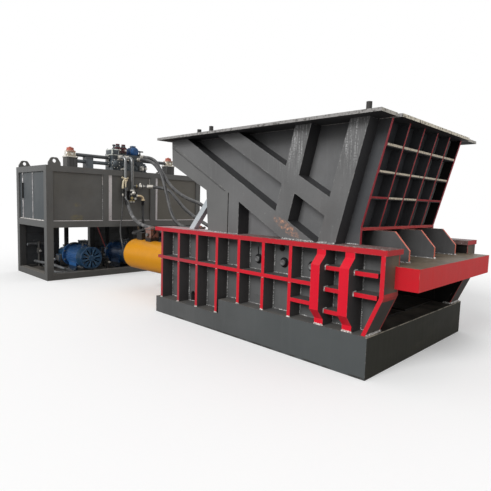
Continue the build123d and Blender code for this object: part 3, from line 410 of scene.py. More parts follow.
def gridPaint():
    s = coated("gridPaint", (0.055, 0.057, 0.062))
    tip = s.nx > 0.5
    rows = ((s.z - 2.114).abs() < 0.01).most((s.z - 1.871).abs() < 0.009)
    low = (s.z - 1.628).abs() < 0.009
    bars = ((s.z - 2.109).abs() < 0.022).most((s.z - 1.8665).abs() < 0.022).most((s.z - 1.624).abs() < 0.022)
    cells = s.node("ShaderNodeMath", {"operation": "PINGPONG"}, {0: s.y + 0.169, 1: 0.169})
    between = cells > 0.016
    s.layer(tip, redCoat(s, (0.5, 0.035, 0.045), (0.33, 0.04, 0.045)))
    s.layer(tip * (cells > 0.0105) * (cells < 0.018), (0.05, 0.03, 0.032))
    pale = s.mix(s.noise(38.0, 4.0, 0.7).step(0.5, 0.68), frameSet["cream"], (0.3, 0.23, 0.16))
    # painted shade: the row bars are dark round the narrow cream band, mostly below it
    s.layer(tip * bars * (1.0 - low) * between, (0.03, 0.026, 0.025))
    s.layer(tip * rows.most(low * (s.y > -0.507) * (s.y < 0.169)) * between, pale)
    s.layer(tip * (s.z < 1.345), redCoat(s, (0.62, 0.05, 0.05), (0.42, 0.06, 0.055)))
    return settled(s, 0.5, dust=0.5, chips=0.4)


def gussetPaint():
    s = coated("gussetPaint", (0.088, 0.088, 0.089))
    s.layer(s.x.step(1.52, 1.32) * 0.75, (0.035, 0.035, 0.034))
    s.layer(s.ny.abs() < 0.5, redCoat(s, (0.9, 0.22, 0.14), (0.72, 0.12, 0.09)))
    return settled(s, 0.5, dust=0.3, chips=0.5, chipColour=(0.6, 0.45, 0.35))


def wallPaint():
    s = coated("wallPaint", frameSet["wall"])
    # painted shade: the side walls darken toward the leaning front edge, recessed behind the last upright
    lean = s.x - 1.325 - (s.z - 1.338).most(0.0) * 0.2568
    s.layer(lean.step(-0.34, -0.2), (0.074, 0.077, 0.082))
    s.layer(s.noise(2.2, 5.0).step(0.45, 0.75) * 0.35, (0.2, 0.19, 0.185))
    # painted shadow: the walls darken near the top under the rim
    s.layer(s.z.step(2.2, 2.33) * 0.7, (0.06, 0.06, 0.062))
    # painted shade: the walls' inner faces inside the hopper are near black
    s.layer(s.y.abs() < 0.85, frameSet["insideShade"])
    s.layer((s.nx > 0.3) * (s.ny.abs() < 0.5), redCoat(s, (0.52, 0.04, 0.06), (0.34, 0.035, 0.05)))
    return settled(s, 0.42, chips=0.3)


def latticePaint():
    s = coated("latticePaint", frameSet["lattice"], shine=0.28)
    # painted highlight: bright streaks of sheen near the tops of the uprights
    sheenStreaks = s.noise(26.0, 3.0, 0.6, stretch=(3.0, 3.0, 0.16))
    grain = s.noise(75.0, 3.0).step(0.36, 0.62)
    flat = s.ny.abs() > 0.5
    sheenMask = s.z.step(1.72, 2.28) * s.x.step(0.2, 0.6) * sheenStreaks.step(0.45, 0.66)
    s.layer(flat * sheenMask * grain * 0.7, (0.62, 0.62, 0.62))
    s.layer(flat * s.noise(30.0, 3.0, shift=(7, 7, 2)).step(0.68, 0.76) * 0.2, (0.4, 0.4, 0.4))
    s.layer(flat * s.z.step(1.9, 1.25) * s.noise(3.0, 5.0).step(0.4, 0.8) * 0.3, (0.12, 0.1, 0.095))
    across = (s.x - 0.56) * 0.49 + (s.z - 1.3) * 0.87
    along = (s.x - 0.56) * 0.87 - (s.z - 1.3) * 0.49
    scuff = (1.0 - (across * across / 0.0036 + along * along / 0.05)).step(0.0, 0.7)
    scratch = s.noise(20.0, 5.0, 0.7, stretch=(1.6, 1.0, 1.6))
    s.layer(flat * scuff * scratch.step(0.42, 0.56) * 0.75, (0.34, 0.2, 0.15))
    s.layer(flat * scuff * scratch.step(0.54, 0.66), (0.72, 0.36, 0.22))
    # painted shade: faces not facing ±Y, the pockets' side faces and undersides, take a near-black grey
    s.layer(s.ny.abs() < 0.5, frameSet["pocketShade"])
    return settled(s, 0.38, chips=0.6, chipColour=(0.5, 0.49, 0.47))


def legPaint():
    s = coated("legPaint", frameSet["leg"], spread=0.08)
    # painted shade: faces not facing ±Y, the legs' side faces, are darkened
    s.layer((s.ny.abs() < 0.5) * 0.8, (0.06, 0.058, 0.055))
    return settled(s, 0.45, chips=0.5, chipColour=(0.36, 0.33, 0.28))


def darkWall():
    s = coated("darkWall", (0.07, 0.073, 0.08), spread=0.25, shine=0.1)
    # painted shade: the wall below the ledge, in the throat, is darkened
    s.layer((s.z < 1.34) * 0.7, (0.032, 0.032, 0.031))
    s.layer(s.noise(5.0, 6.0).step(0.55, 0.8) * 0.5, (0.03, 0.03, 0.033))
    # painted light: cells toward +Y are lifted to a lighter grey
    s.layer(s.y.step(0.35, 0.6) * (s.z > 1.34) * 0.8, (0.3, 0.31, 0.3))
    return settled(s, 0.55, dust=0.3)


def plainGrey():
    s = coated("plainGrey", (0.09, 0.088, 0.085), spread=0.2)
    s.layer(s.noise(6.0, 6.0).step(0.52, 0.75) * 0.5, (0.05, 0.04, 0.033))
    return settled(s, 0.55, dust=0.5, chips=0.4)


def rimPaint():
    s = coated("rimPaint", (0.4, 0.395, 0.39), spread=0.2)
    s.layer(s.noise(12.0, 6.0, 0.7).step(0.5, 0.66) * 0.7, (0.12, 0.115, 0.11))
    rough = s.noise(34.0, 4.0, 0.7).step(0.48, 0.64)
    edge = s.mix(rough, (0.95, 0.87, 0.7), (0.14, 0.12, 0.09))
    s.layer((s.nz.abs() < 0.5) * (0.35 + (s.y.abs() < 0.9) * 0.6), edge)
    s.layer((s.nz.abs() < 0.5) * (s.ny.abs() > 0.5), s.mix(rough, (0.33, 0.32, 0.31), (0.1, 0.095, 0.09)))
    s.layer((s.z > 2.366), (0.05, 0.048, 0.046))
    # painted shade: the rim's underside is darkened
    s.layer(s.nz < -0.5, (0.04, 0.04, 0.042))
    return settled(s, 0.5, chips=0.6)


def bracePaint():
    s = coated("bracePaint", (0.5, 0.545, 0.57), spread=0.08)
    s.layer(s.noise(18.0, 5.0).step(0.58, 0.72) * 0.6, (0.2, 0.2, 0.2))
    return settled(s, 0.42, chips=0.6, chipColour=(0.12, 0.11, 0.1))


def knifeSteel():
    # near black: oily steel, darkened further as painted shade inside the throat
    s = coated("knifeSteel", (0.014, 0.013, 0.012), spread=0.3, shine=0.1)
    grind = s.noise(40.0, 4.0, 0.6, stretch=(0.08, 2.0, 2.0))
    rubbed = grind.step(0.5, 0.7) * s.noise(2.0, 4.0).step(0.4, 0.7)
    s.layer(rubbed * 0.5, (0.08, 0.076, 0.072))
    s.layer(s.noise(7.0, 6.0).step(0.55, 0.72) * 0.6, (0.075, 0.04, 0.024))
    s.feed(colour=s.tone, rough=0.5 - rubbed * 0.2, metal=rubbed * 0.7)
    s.bump(grind + s.fine, 0.25, 0.002)
    return s.material


def bladeSteel():
    s = coated("bladeSteel", (0.28, 0.28, 0.285), spread=0.15, shine=0.5)
    grind = s.noise(60.0, 3.0, 0.6, stretch=(0.2, 0.05, 2.5))
    s.layer(s.noise(8.0, 6.0).step(0.55, 0.75) * 0.6, (0.12, 0.08, 0.055))
    s.feed(colour=s.tone, rough=0.3 + grind * 0.25, metal=0.85)
    s.bump(grind, 0.2, 0.001)
    return s.material


def paintFrame():
    assign(basePaint(), "base_skid")
    assign(webPaint(), "side_webs")
    assign(ribPaint(), "side_ribs")
    assign(columnPaint(), "heavy_columns")
    assign(flangePaint(), "top_flanges")
    assign(endPlatePaint(), "end_plates")
    assign(frontBeamPaint(), "front_beam")
    assign(gridPaint(), "front_grid")
    assign(gussetPaint(), "front_gussets")
    assign(wallPaint(), "hopper_walls")
    assign(latticePaint(), "left_lattice", "right_lattice")
    assign(legPaint(), "hopper_legs")
    assign(darkWall(), "front_wall")
    assign(plainGrey(), "hopper_floor", "rear_plate", "bed_beams", "throat_beam")
    assign(rimPaint(), "hopper_rim")
    assign(bracePaint(), "leg_braces")
    assign(knifeSteel(), "knife_carriage", "wear_liners")
    assign(bladeSteel(), "moving_blades", "fixed_blades")


paintFrame()
print("frame painted")


# power pack, cylinders and plumbing
packSet = {
    "grey": (0.163, 0.161, 0.154),
    # darker grey for the key-lit ends: painted shade
    "endGreyShade": (0.076, 0.084, 0.088),
    "yellow": (0.63, 0.262, 0.008),
    "blue": (0.021, 0.088, 0.24),
    "cream": (0.55, 0.5, 0.4),
}


def packPaint():
    s = coated("packPaint", packSet["grey"], spread=0.12)
    # painted shade: the ends facing ±Y, lit by the key, take a darker grey than the +X faces
    s.layer((s.ny.abs() > 0.5) * 0.9, (0.115, 0.117, 0.116))
    s.layer(s.z.step(0.5, 0.0) * 0.5, (0.08, 0.076, 0.07))
    s.layer((s.nz > 0.5) * 0.5, (0.24, 0.225, 0.2))
    # painted shade: faces in the bay below the tank, past x -4.8 and under 1 m, are darkened
    s.layer((s.x < -4.8) * (s.ny.abs() < 0.5) * (s.nz.abs() < 0.5) * (s.z < 1.0) * 0.8, (0.05, 0.05, 0.05))
    return settled(s, 0.48, dust=0.3, chips=0.45)


def packDark():
    s = coated("packDark", (0.055, 0.054, 0.052), spread=0.25)
    s.layer(s.noise(6.0, 6.0).step(0.52, 0.72) * 0.5, (0.1, 0.085, 0.07))
    return settled(s, 0.55, dust=0.5, chips=0.3)


def tankPaint():
    s = coated("tankPaint", packSet["grey"], spread=0.16)
    front = s.nx > 0.5
    s.layer(front * s.noise(0.9, 4.0, shift=(0, 3, 1)).step(0.4, 0.68) * 0.6, (0.18, 0.172, 0.15))
    s.layer(front * (s.y > 0.7) * 0.6, (0.2, 0.182, 0.15))
    # painted shade: the tank's -Y end, lit by the key, takes the darker end grey
    s.layer((s.ny < -0.5), s.mix(s.cloud.step(0.35, 0.65), packSet["endGreyShade"], (0.07, 0.08, 0.086)))
    # two yellowish smears where the panel was wiped
    for wide, high, where in ((0.1, 0.05, 1.4), (0.17, 0.07, 1.16)):
        gap = (s.y + 0.89) * (s.y + 0.89) / (wide * wide) + (s.z - where) * (s.z - where) / (high * high)
        s.layer(front * (1.0 - gap).step(0.0, 0.9) * s.noise(9.0, 4.0).step(0.25, 0.6) * 0.7, (0.26, 0.225, 0.12))
    wave = s.noise(1.6, 2.0, shift=(5, 2, 9))
    s.layer(s.fine.step(0.6, 0.76) * 0.2, (0.03, 0.03, 0.03))
    s.feed(colour=s.tone, rough=0.44 + (s.cloud - 0.5) * 0.25)
    s.bump(wave * 12.0 + s.fine * 0.3, 0.35, 0.006)
    return s.material


def stripReflection():
    # pale strips beside the posts; their near-white top fading to grey lower down is a painted reflection
    s = coated("stripReflection", (0.97, 0.92, 0.92), spread=0.04)
    s.layer(s.z.step(1.6, 1.15) * 0.4, (0.5, 0.46, 0.46))
    s.layer((s.ny < -0.5) * s.noise(16.0, 5.0, 0.7).step(0.4, 0.6), (0.13, 0.13, 0.13))
    s.layer(s.noise(20.0, 5.0).step(0.6, 0.75) * 0.6, (0.2, 0.18, 0.17))
    return settled(s, 0.4)


def yellowPaint():
    s = coated("yellowPaint", packSet["yellow"], spread=0.05, shine=0.2)
    s.layer(s.z.step(0.56, 0.36) * 0.8, (0.95, 0.37, 0.008))
    # painted reflection: thin pale streaks along the cylinders' upper near side, from nearby pipes
    line = s.noise(14.0, 2.0, 0.5, stretch=(0.25, 3.0, 3.0)).step(0.6, 0.66)
    s.layer(line * s.x.step(-1.9, -1.6) * (s.nz > 0.1) * (s.nz < 0.75) * (s.ny < 0), (0.95, 0.85, 0.7))
    s.layer(s.noise(30.0, 4.0).step(0.68, 0.74) * 0.5, (0.3, 0.13, 0.02))
    return settled(s, 0.32, dust=0.12, peel=0.12)


def bluePaint(name, colour):
    s = coated(name, colour, spread=0.2, shine=0.35)
    # painted highlight: the upward faces take lighter blue patches
    s.layer((s.nz > 0.3) * s.noise(10.0, 5.0).step(0.4, 0.7) * 0.5, (0.07, 0.13, 0.21))
    # painted shadow: the feet under 0.17 m are near black
    s.layer((s.z < 0.17) * 0.85, (0.012, 0.018, 0.025))
    s.layer((s.z > 0.575) * (s.z < 1.0) * 0.9, (0.035, 0.045, 0.05))
    s.layer(s.noise(25.0, 5.0).step(0.6, 0.74) * 0.5, (0.016, 0.022, 0.03))
    return settled(s, 0.4, chips=0.7, chipColour=(0.3, 0.36, 0.42))


def bareSteel(name, colour, rough, metal, spots=0.5):
    s = coated(name, colour, spread=0.18, shine=0.5)
    s.layer(s.noise(14.0, 6.0, 0.65).step(0.52, 0.7) * spots, tint(colour, 0.35))
    s.feed(colour=s.tone, rough=rough + (s.cloud - 0.5) * 0.3 + s.fine * 0.08, metal=metal)
    s.bump(s.fine, 0.2, 0.001)
    return s.material


def dropPaint():
    s = coated("dropSkin", (0.17, 0.175, 0.175), spread=0.15, shine=0.6)
    # painted reflection: a pale band on the short drop's +Y side
    s.layer((s.ny > 0.5) * (s.y > 0.16) * (s.z > 1.83), (0.8, 0.75, 0.62))
    # painted reflection: the long drop's -Y side is lighter above 1.9 m
    s.layer((s.ny < -0.75) * (s.z > 1.9), (0.36, 0.37, 0.37))
    # painted shade: the sides of the lower drop are near black, which also makes it read thinner
    s.layer((s.ny.abs() > 0.75) * (s.y < 0.16) * (s.z < 1.88), (0.04, 0.04, 0.04))
    s.layer((s.y < 0.062) * (s.z < 1.745), (0.02, 0.02, 0.021))
    s.layer(s.noise(14.0, 6.0, 0.65).step(0.55, 0.72) * 0.5, (0.07, 0.07, 0.066))
    s.feed(colour=s.tone, rough=0.32 + (s.cloud - 0.5) * 0.3, metal=0.4)
    s.bump(s.fine, 0.2, 0.001)
    return s.material


def blockPaint():
    s = coated("blockSteel", (0.075, 0.09, 0.1), spread=0.3, shine=0.4)
    s.layer(s.noise(9.0, 5.0).step(0.48, 0.66) * 0.7, (0.028, 0.036, 0.042))
    s.layer(s.noise(24.0, 4.0, shift=(3, 3, 3)).step(0.6, 0.7) * 0.6, (0.34, 0.36, 0.36))
    s.layer(s.z < 1.8, (0.02, 0.02, 0.022))
    return settled(s, 0.42, chips=0.6, chipColour=(0.4, 0.42, 0.42))


def sheetPaint():
    s = coated("sheetPaint", (0.085, 0.09, 0.095), spread=0.25)
    # painted light: the sheet is lighter toward +Y, past y 0.12, where the bays read lit
    s.layer(s.y.step(0.0, 0.12), (0.135, 0.137, 0.14))
    s.layer(s.noise(6.0, 6.0).step(0.52, 0.72) * 0.5, (0.06, 0.058, 0.055))
    return settled(s, 0.5, dust=0.3, chips=0.3)


def filterPaint():
    s = coated("filterPaint", packSet["cream"], spread=0.1)
    s.layer(s.noise(16.0, 5.0).step(0.5, 0.7) * 0.6, (0.2, 0.17, 0.12))
    s.layer(s.z < 2.3105, s.mix(s.brush.step(0.5, 0.7), (0.085, 0.083, 0.08), (0.16, 0.16, 0.16)))
    return settled(s, 0.5, dust=0.3, chips=0.4)


def capPaint(name, colour, worn):
    s = coated(name, colour, spread=0.2)
    s.layer(s.noise(22.0, 5.0).step(0.5, 0.68) * 0.7, worn)
    return settled(s, 0.5, dust=0.4, chips=0.5)


# primer brown, grimy, with redder lumps
def fillPaint():
    s = coated("fillPaint", (0.27, 0.16, 0.135), spread=0.25)
    s.layer(s.noise(13.0, 3.0, shift=(1, 4, 2)).step(0.56, 0.64), (0.03, 0.026, 0.025))
    s.layer(s.noise(15.0, 3.0, shift=(7, 2, 5)).step(0.56, 0.62), (0.5, 0.13, 0.1))
    s.layer(s.z.step(0.935, 0.9), (0.03, 0.026, 0.024))
    return settled(s, 0.5, chips=0.4)


def returnPaint():
    s = coated("returnPaint", (0.085, 0.092, 0.096), spread=0.2, shine=0.5)
    # painted highlight: the lower return pipe takes a paler blue-grey
    s.layer(s.z < 2.3, (0.13, 0.15, 0.165))
    s.layer(s.noise(11.0, 5.0).step(0.5, 0.7) * 0.6, (0.035, 0.04, 0.045))
    return settled(s, 0.4, chips=0.4)


def solenoidPaint():
    s = coated("solenoidPaint", (0.1, 0.03, 0.036), spread=0.25)
    s.layer((s.z < 2.5) * 0.8, (0.1, 0.1, 0.09))
    s.layer(s.noise(28.0, 4.0).step(0.55, 0.7) * 0.6, (0.24, 0.2, 0.2))
    return settled(s, 0.45, chips=0.5)


def rubberSkin():
    s = coated("rubberSkin", (0.02, 0.02, 0.021), spread=0.3)
    s.layer(s.noise(12.0, 5.0).step(0.5, 0.75) * 0.5, (0.07, 0.066, 0.06))
    return settled(s, 0.6)


def paintPack():
    assign(packPaint(), "pack_posts", "pack_beams", "pack_lugs")
    assign(packDark(), "pack_tray")
    assign(returnPaint(), "return_pipes")
    assign(sheetPaint(), "rear_sheets")
    assign(tankPaint(), "oil_tank")
    assign(stripReflection(), "tank_strips")
    assign(yellowPaint(), "barrels")
    assign(bluePaint("motorBlue", packSet["blue"]), "motors", "bell_housings", "pilot_motor")
    assign(bluePaint("cowlBlue", (0.016, 0.056, 0.115)), "fan_cowls", "pumps")
    assign(dropPaint(), "drop_pipes")
    assign(bareSteel("rodChrome", (0.72, 0.72, 0.73), 0.12, 1.0, 0.1), "piston_rods")
    assign(bareSteel("brassSkin", (0.78, 0.62, 0.4), 0.3, 0.7), "brass_elbow")
    assign(blockPaint(), "valve_blocks")
    assign(bareSteel("portSteel", (0.022, 0.021, 0.02), 0.5, 0.2), "port_blocks")
    assign(bareSteel("turnedSteel", (0.2, 0.2, 0.2), 0.4, 0.6), "glands", "pistons", "guide_screws")
    assign(bareSteel("rotorSteel", (0.3, 0.31, 0.32), 0.4, 0.5), "rotor_1", "rotor_2", "rotor_3")
    assign(filterPaint(), "filter_heads")
    assign(capPaint("capPaint", (0.5, 0.14, 0.1), (0.3, 0.17, 0.13)), "filter_caps")
    assign(fillPaint(), "fill_blocks")
    assign(solenoidPaint(), "pilot_valves")
    assign(rubberSkin(), "suction_pipes")


paintPack()
print("pack painted")


# tools for the small work: turned pieces, hex nuts, softened blocks, bent tube and weld runs
wobble = random.Random(11)
alongX, alongY, alongZ = Vector((1, 0, 0)), Vector((0, 1, 0)), Vector((0, 0, 1))


def mark(bm, first, finish):
    bm.faces.ensure_lookup_table()
    for face in bm.faces[first:]:
        face.material_index = finish


def turned(bm, start, axis, profile, steps=20, finish=0):
    first = len(bm.faces)
    start, axis = Vector(start), Vector(axis).normalized()
    side = axis.orthogonal().normalized()
    ring = [bm.verts.new(start + axis * along + side * radius) for along, radius in profile]
    edges = [bm.edges.new(pair) for pair in zip(ring, ring[1:])]
    bmesh.ops.spin(bm, geom=ring + edges, cent=start, axis=axis, angle=math.tau, steps=steps, use_merge=True)
    mark(bm, first, finish)


def hexNut(bm, start, axis, height, radius, finish=0):
    outline = ((0, 0), (0, 0.88), (0.14, 1), (0.84, 1), (1, 0.86), (1, 0))
    turned(bm, start, axis, [(height * along, radius * out) for along, out in outline], 6, finish)


def bolt(bm, start, axis, size, finish=0):
    start, axis = Vector(start), Vector(axis).normalized()
    washer = ((0, 0), (0, 1.35), (0.14, 1.35), (0.2, 1.25), (0.2, 0))
    turned(bm, start, axis, [(size * along, size * out) for along, out in washer], 16, finish)
    hexNut(bm, start + axis * size * 0.2, axis, size * 0.8, size, finish)


def boltGrid(bm, xs, ys, zs, axis, size, finish=0):
    for place in itertools.product(xs, ys, zs):
        bolt(bm, place, axis, size, finish)


# pairs of offsets round a circle
def around(count, radius, turn=0.0):
    angles = [math.tau * (k + turn) / count for k in range(count)]
    return [(radius * math.cos(a), radius * math.sin(a)) for a in angles]


def hoop(bm, middle, axis, radius, thick, steps=32, finish=0):
    corners = [math.tau * i / 8 for i in range(9)]
    turned(bm, middle, axis, [(thick * math.sin(a), radius + thick * math.cos(a)) for a in corners], steps, finish)


def softBlock(bm, low, high, soft, finish=0):
    first = len(bm.faces)
    low, high = Vector(low), Vector(high)
    place = Matrix.Translation((low + high) / 2) @ Matrix.Diagonal((*(high - low), 1.0))
    made = bmesh.ops.create_cube(bm, size=1.0, matrix=place)
    edges = list({edge for vert in made["verts"] for edge in vert.link_edges})
    bmesh.ops.bevel(bm, geom=edges, offset=soft, segments=2, profile=0.5, affect="EDGES", material=-1)
    mark(bm, first, finish)


def bentTube(bm, points, radius, steps=12, finish=0):
    points = [Vector(point) for point in points]
    turns = [math.tau * k / steps for k in range(steps)]
    rings = []
    side = None
    for i, point in enumerate(points):
        ahead = (points[min(i + 1, len(points) - 1)] - points[max(i - 1, 0)]).normalized()
        side = (ahead.orthogonal() if side is None else side - ahead * side.dot(ahead)).normalized()
        other = ahead.cross(side)
        rings.append([bm.verts.new(point + (side * math.cos(a) + other * math.sin(a)) * radius) for a in turns])
    for near, far in zip(rings, rings[1:]):
        for k in range(steps):
            face = bm.faces.new((near[k], near[(k + 1) % steps], far[(k + 1) % steps], far[k]))
            face.material_index = finish
    for ring in (rings[0], rings[-1]):
        bm.faces.new(ring).material_index = finish


# a rippled fillet in the corner between two plates
def bead(bm, start, end, sideA, sideB, size, finish=0, pitch=0.011):
    start, run = Vector(start), Vector(end) - Vector(start)
    sideA, sideB = Vector(sideA), Vector(sideB)
    count = max(4, int(run.length / pitch))
    turns = (0, math.pi / 6, math.pi / 3, math.pi / 2)
    rows = []
    for i in range(count + 1):
        swell = size * (1.0 if i % 2 else 0.76) * (0.9 + 0.2 * wobble.random())
        if i in (0, count):
            swell *= 0.4
        middle = start + run * (i / count)
        rows.append([bm.verts.new(middle + (sideA * math.cos(a) + sideB * math.sin(a)) * swell) for a in turns])
    for near, far in zip(rows, rows[1:]):
        for k in range(3):
            bm.faces.new((near[k], near[k + 1], far[k + 1], far[k])).material_index = finish


def settle(name, bm, finishes):
    bmesh.ops.remove_doubles(bm, verts=bm.verts, dist=0.00002)
    bmesh.ops.recalc_face_normals(bm, faces=bm.faces)
    data = bpy.data.meshes.new(name)
    bm.to_mesh(data)
    bm.free()
    for finish in finishes:
        data.materials.append(bpy.data.materials[finish])
    data.shade_smooth()
    data.set_sharp_from_angle(angle=math.radians(35))
    piece = bpy.data.objects.new(name, data)
    scene.collection.objects.link(piece)
    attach(piece, "machine")


def smallFinishes():
    s = coated("weldGrey", (0.13, 0.13, 0.13), spread=0.2, shine=0.4)
    # painted highlight: pale glints on the weld ripples
    s.layer(s.noise(95.0, 2.0).step(0.5, 0.6) * s.noise(9.0, 3.0).step(0.3, 0.5), (0.75, 0.75, 0.73))
    settled(s, 0.35)
    s = coated("weldPale", (0.72, 0.7, 0.67), spread=0.15, shine=0.4)
    s.layer(s.noise(70.0, 3.0).step(0.44, 0.58) * 0.85, (0.16, 0.14, 0.13))
    settled(s, 0.4)
    s = coated("creamFitting", (0.8, 0.7, 0.5), spread=0.12, shine=0.4)
    s.layer(s.noise(30.0, 4.0).step(0.55, 0.7) * 0.7, (0.25, 0.2, 0.13))
    settled(s, 0.35)
    s = coated("valveGreen", (0.8, 0.83, 0.77), spread=0.15)
    s.layer(s.noise(30.0, 4.0).step(0.5, 0.68) * 0.6, (0.12, 0.13, 0.12))
    settled(s, 0.45, chips=0.5)
    s = coated("trayGrey", (0.12, 0.125, 0.13), spread=0.3)
    s.layer(s.noise(14.0, 5.0).step(0.45, 0.65) * 0.8, (0.05, 0.05, 0.05))
    settled(s, 0.45, dust=0.3)
    settled(coated("gaugeBlack", (0.012, 0.012, 0.013), spread=0.2), 0.35)
    settled(coated("pinkPipe", (0.55, 0.13, 0.13), spread=0.15), 0.45, dust=0.3)
    settled(coated("tanPipe", (0.5, 0.37, 0.25), spread=0.2), 0.5, dust=0.3)
    settled(coated("paleBlue", (0.1, 0.2, 0.32), spread=0.2), 0.4)
    bareSteel("pipeSteel", (0.66, 0.63, 0.57), 0.28, 0.75)
    bareSteel("darkBrass", (0.45, 0.35, 0.16), 0.35, 0.6)


# weld runs, the pale ones left bare where the paint didn't hold
weldSet = {
    "ribStart": -1.521, "ribPitch": 0.3715, "ribs": 7, "web": 0.98, "ribEdge": 1.152, "run": 0.009, "foot": 0.013,
    "skidLow": 0.216, "skidHigh": 0.392, "skidStep": -0.33, "barLow": 0.753, "barTop": 0.793,
    "flangeLow": 1.124, "flangeTop": 1.174, "lattice": 1.055, "wall": 0.88, "deck": 1.022,
    "gussets": (-0.6, 0.0, 0.6), "pegs": (1.44, -0.671, -0.897),
    "feet": ((0.508, 0.913, 0.016), (0.963, 1.161, 0.016), (-0.687, -0.34, 0.01), (-0.325, -0.155, 0.01)),
    "pegFoot": ((0, 0.037), (0.004, 0.035), (0.012, 0.028), (0.012, 0.026)),
}


def buildWelds():
    bm = bmesh.new()
    web, out, run, foot, wall = (weldSet[k] for k in ("web", "ribEdge", "run", "foot", "wall"))
    skidLow, skidHigh, barLow, barTop = (weldSet[k] for k in ("skidLow", "skidHigh", "barLow", "barTop"))
    flangeLow, flangeTop, lattice, deck = (weldSet[k] for k in ("flangeLow", "flangeTop", "lattice", "deck"))
    step = weldSet["skidStep"]
    for flip in (-1, 1):
        away = alongY * flip
        for i in range(weldSet["ribs"]):
            x = weldSet["ribStart"] + i * weldSet["ribPitch"]
            low = skidLow if x < step else skidHigh
            for z0, z1 in ((low, barLow), (barTop, flangeLow)):
                for turn in (-1, 1):
                    side = x + turn * 0.02
                    bead(bm, (side, flip * web, z0), (side, flip * web, z1), alongX * turn, away, run)
            bead(bm, (x - 0.026, flip * out, low), (x + 0.026, flip * out, low), away, alongZ, foot, 1)
            bead(bm, (x - 0.015, flip * out, barLow), (x + 0.015, flip * out, barLow), away, -alongZ, 0.01, 1)
        for x0, x1, z in ((-1.541, step, skidLow), (step, 1.55, skidHigh), (-1.541, 1.03, barTop)):
            bead(bm, (x0, flip * web, z), (x1, flip * web, z), away, alongZ, run)
        for x in (1.081, 1.392):
            ends = [(x + dx, flip * out, skidHigh) for dx in (-0.055, 0.055)]
            bead(bm, *ends, away, alongZ, foot * 1.2, 1)
            for turn in (-1, 1):
                side = x + turn * 0.05
                bead(bm, (side, flip * web, skidHigh), (side, flip * web, flangeLow), alongX * turn, away, run)
        for x, heights in ((1.131, (0.955, 0.748, 0.536)), (1.442, (0.945, 0.750))):
            for z in heights:
                bead(bm, (x, flip * 1.09, z + 0.02), (x, flip * out, z + 0.02), alongX, alongZ, 0.009, 1)
                bead(bm, (x, flip * out, z - 0.025), (x, flip * out, z + 0.025), alongX, away, 0.009, 1)
        bead(bm, (1.585, flip * 0.885, skidHigh), (1.585, flip * 1.15, skidHigh), alongX, alongZ, 0.016, 1)
        bead(bm, (1.5, flip * wall, skidHigh), (1.6, flip * wall, skidHigh), -away, alongZ, 0.02, 1)
        # along the hopper's feet on the flange
        for x0, x1, size in weldSet["feet"]:
            bead(bm, (x0, flip * lattice, flangeTop), (x1, flip * lattice, flangeTop), away, alongZ, size)
        bead(bm, (1.161, flip * wall, flangeTop), (1.32, flip * wall, flangeTop), away, alongZ, 0.01)
        for y in weldSet["gussets"]:
            bead(bm, (1.215, y + flip * 0.015, deck), (1.69, y + flip * 0.015, deck), away, alongZ, 0.008)
        # lap seam under the long diagonal, and the strip between rim and wall
        # the seam takes the lattice paint, so its lower face gets the painted pocket shade
        bead(bm, (-1.436, flip * lattice, 2.241), (-0.389, flip * lattice, 1.676), away, (-0.475, 0, -0.88), 0.012, 2)
        low, high = sorted((flip * 0.85, flip * 0.9))
        softBlock(bm, (-1.45, low, 2.334), (1.572, high, 2.36), 0.002, 3)
        for x in weldSet["pegs"]:
            turned(bm, (x, flip * 1.05, 2.364), alongZ, weldSet["pegFoot"], 20, 1)
    for y in weldSet["gussets"]:
        bead(bm, (1.696, y - 0.016, deck), (1.696, y + 0.016, deck), alongX, alongZ, 0.014, 1)
    settle("frameWelds", bm, ("weldGrey", "weldPale", "latticePaint", "rimPaint"))


# lock nuts on the knife's guide screws, each ringed by a black rim that is a painted shadow of the gap round the head
guideSet = {
    "places": (0.12375, 0.49525, 0.86675), "height": 0.915, "web": 0.98,
    "rim": ((0, 0.056), (0.006, 0.056), (0.009, 0.053), (0.009, 0.03)),
    "tip": ((0, 0.031), (0.003, 0.028), (0.004, 0.02), (0.002, 0.016), (0.002, 0)),
}


def buildGuideNuts():
    bm = bmesh.new()
    for flip in (-1, 1):
        away = alongY * flip
        for x in guideSet["places"]:
            start = Vector((x, flip * guideSet["web"], guideSet["height"]))
            # the black rim is a painted shadow of the gap round the screw head
            turned(bm, start, away, guideSet["rim"], 28)
            hexNut(bm, start + away * 0.009, away, 0.016, 0.045)
            turned(bm, start + away * 0.036, away, guideSet["tip"], 24, 1)
    settle("guideNuts", bm, ("gaugeBlack", "turnedSteel"))


# crimped sleeves and swivel nuts at both ends of each hose, in hose radii
sleeveSet = {
    "shape": ((-0.3, 0.6), (-0.3, 1.0), (0, 1.05), (0.1, 1.24), (0.7, 1.28), (0.75, 1.18), (1.2, 1.18), (1.25, 1.28),
              (1.9, 1.28), (1.95, 1.18), (2.4, 1.18), (2.45, 1.28), (3.1, 1.24), (3.3, 1.04)),
    "dullBelow": 1.6,
}


def buildHoseEnds():
    bm = bmesh.new()
    for settings in hoseSet.values():
        points = [Vector(point) for point in settings["points"]]
        radius = settings["radius"]
        sleeve = [(along * radius, out * radius) for along, out in sleeveSet["shape"]]
        dull = 2 if settings.get("rubber") == "black" else 1
        for end, inner in ((points[0], points[1]), (points[-1], points[-2])):
            axis = (inner - end).normalized()
            finish = dull if end.z < sleeveSet["dullBelow"] else 0
            turned(bm, end, axis, sleeve, 24, finish)
            hexNut(bm, end - axis * radius * 0.5, axis, radius * 0.9, radius * 1.45, finish)
    settle("hoseEnds", bm, ("pipeSteel", "dropSkin", "gaugeBlack"))


# brass and plated fittings on the drops in front of the tank: place, axis, height, radius, finish
dropSet = {"x": -4.61, "face": -4.56, "longY": 0.09, "shortY": 0.24, "branchZ": 1.812, "ball": 0.04}


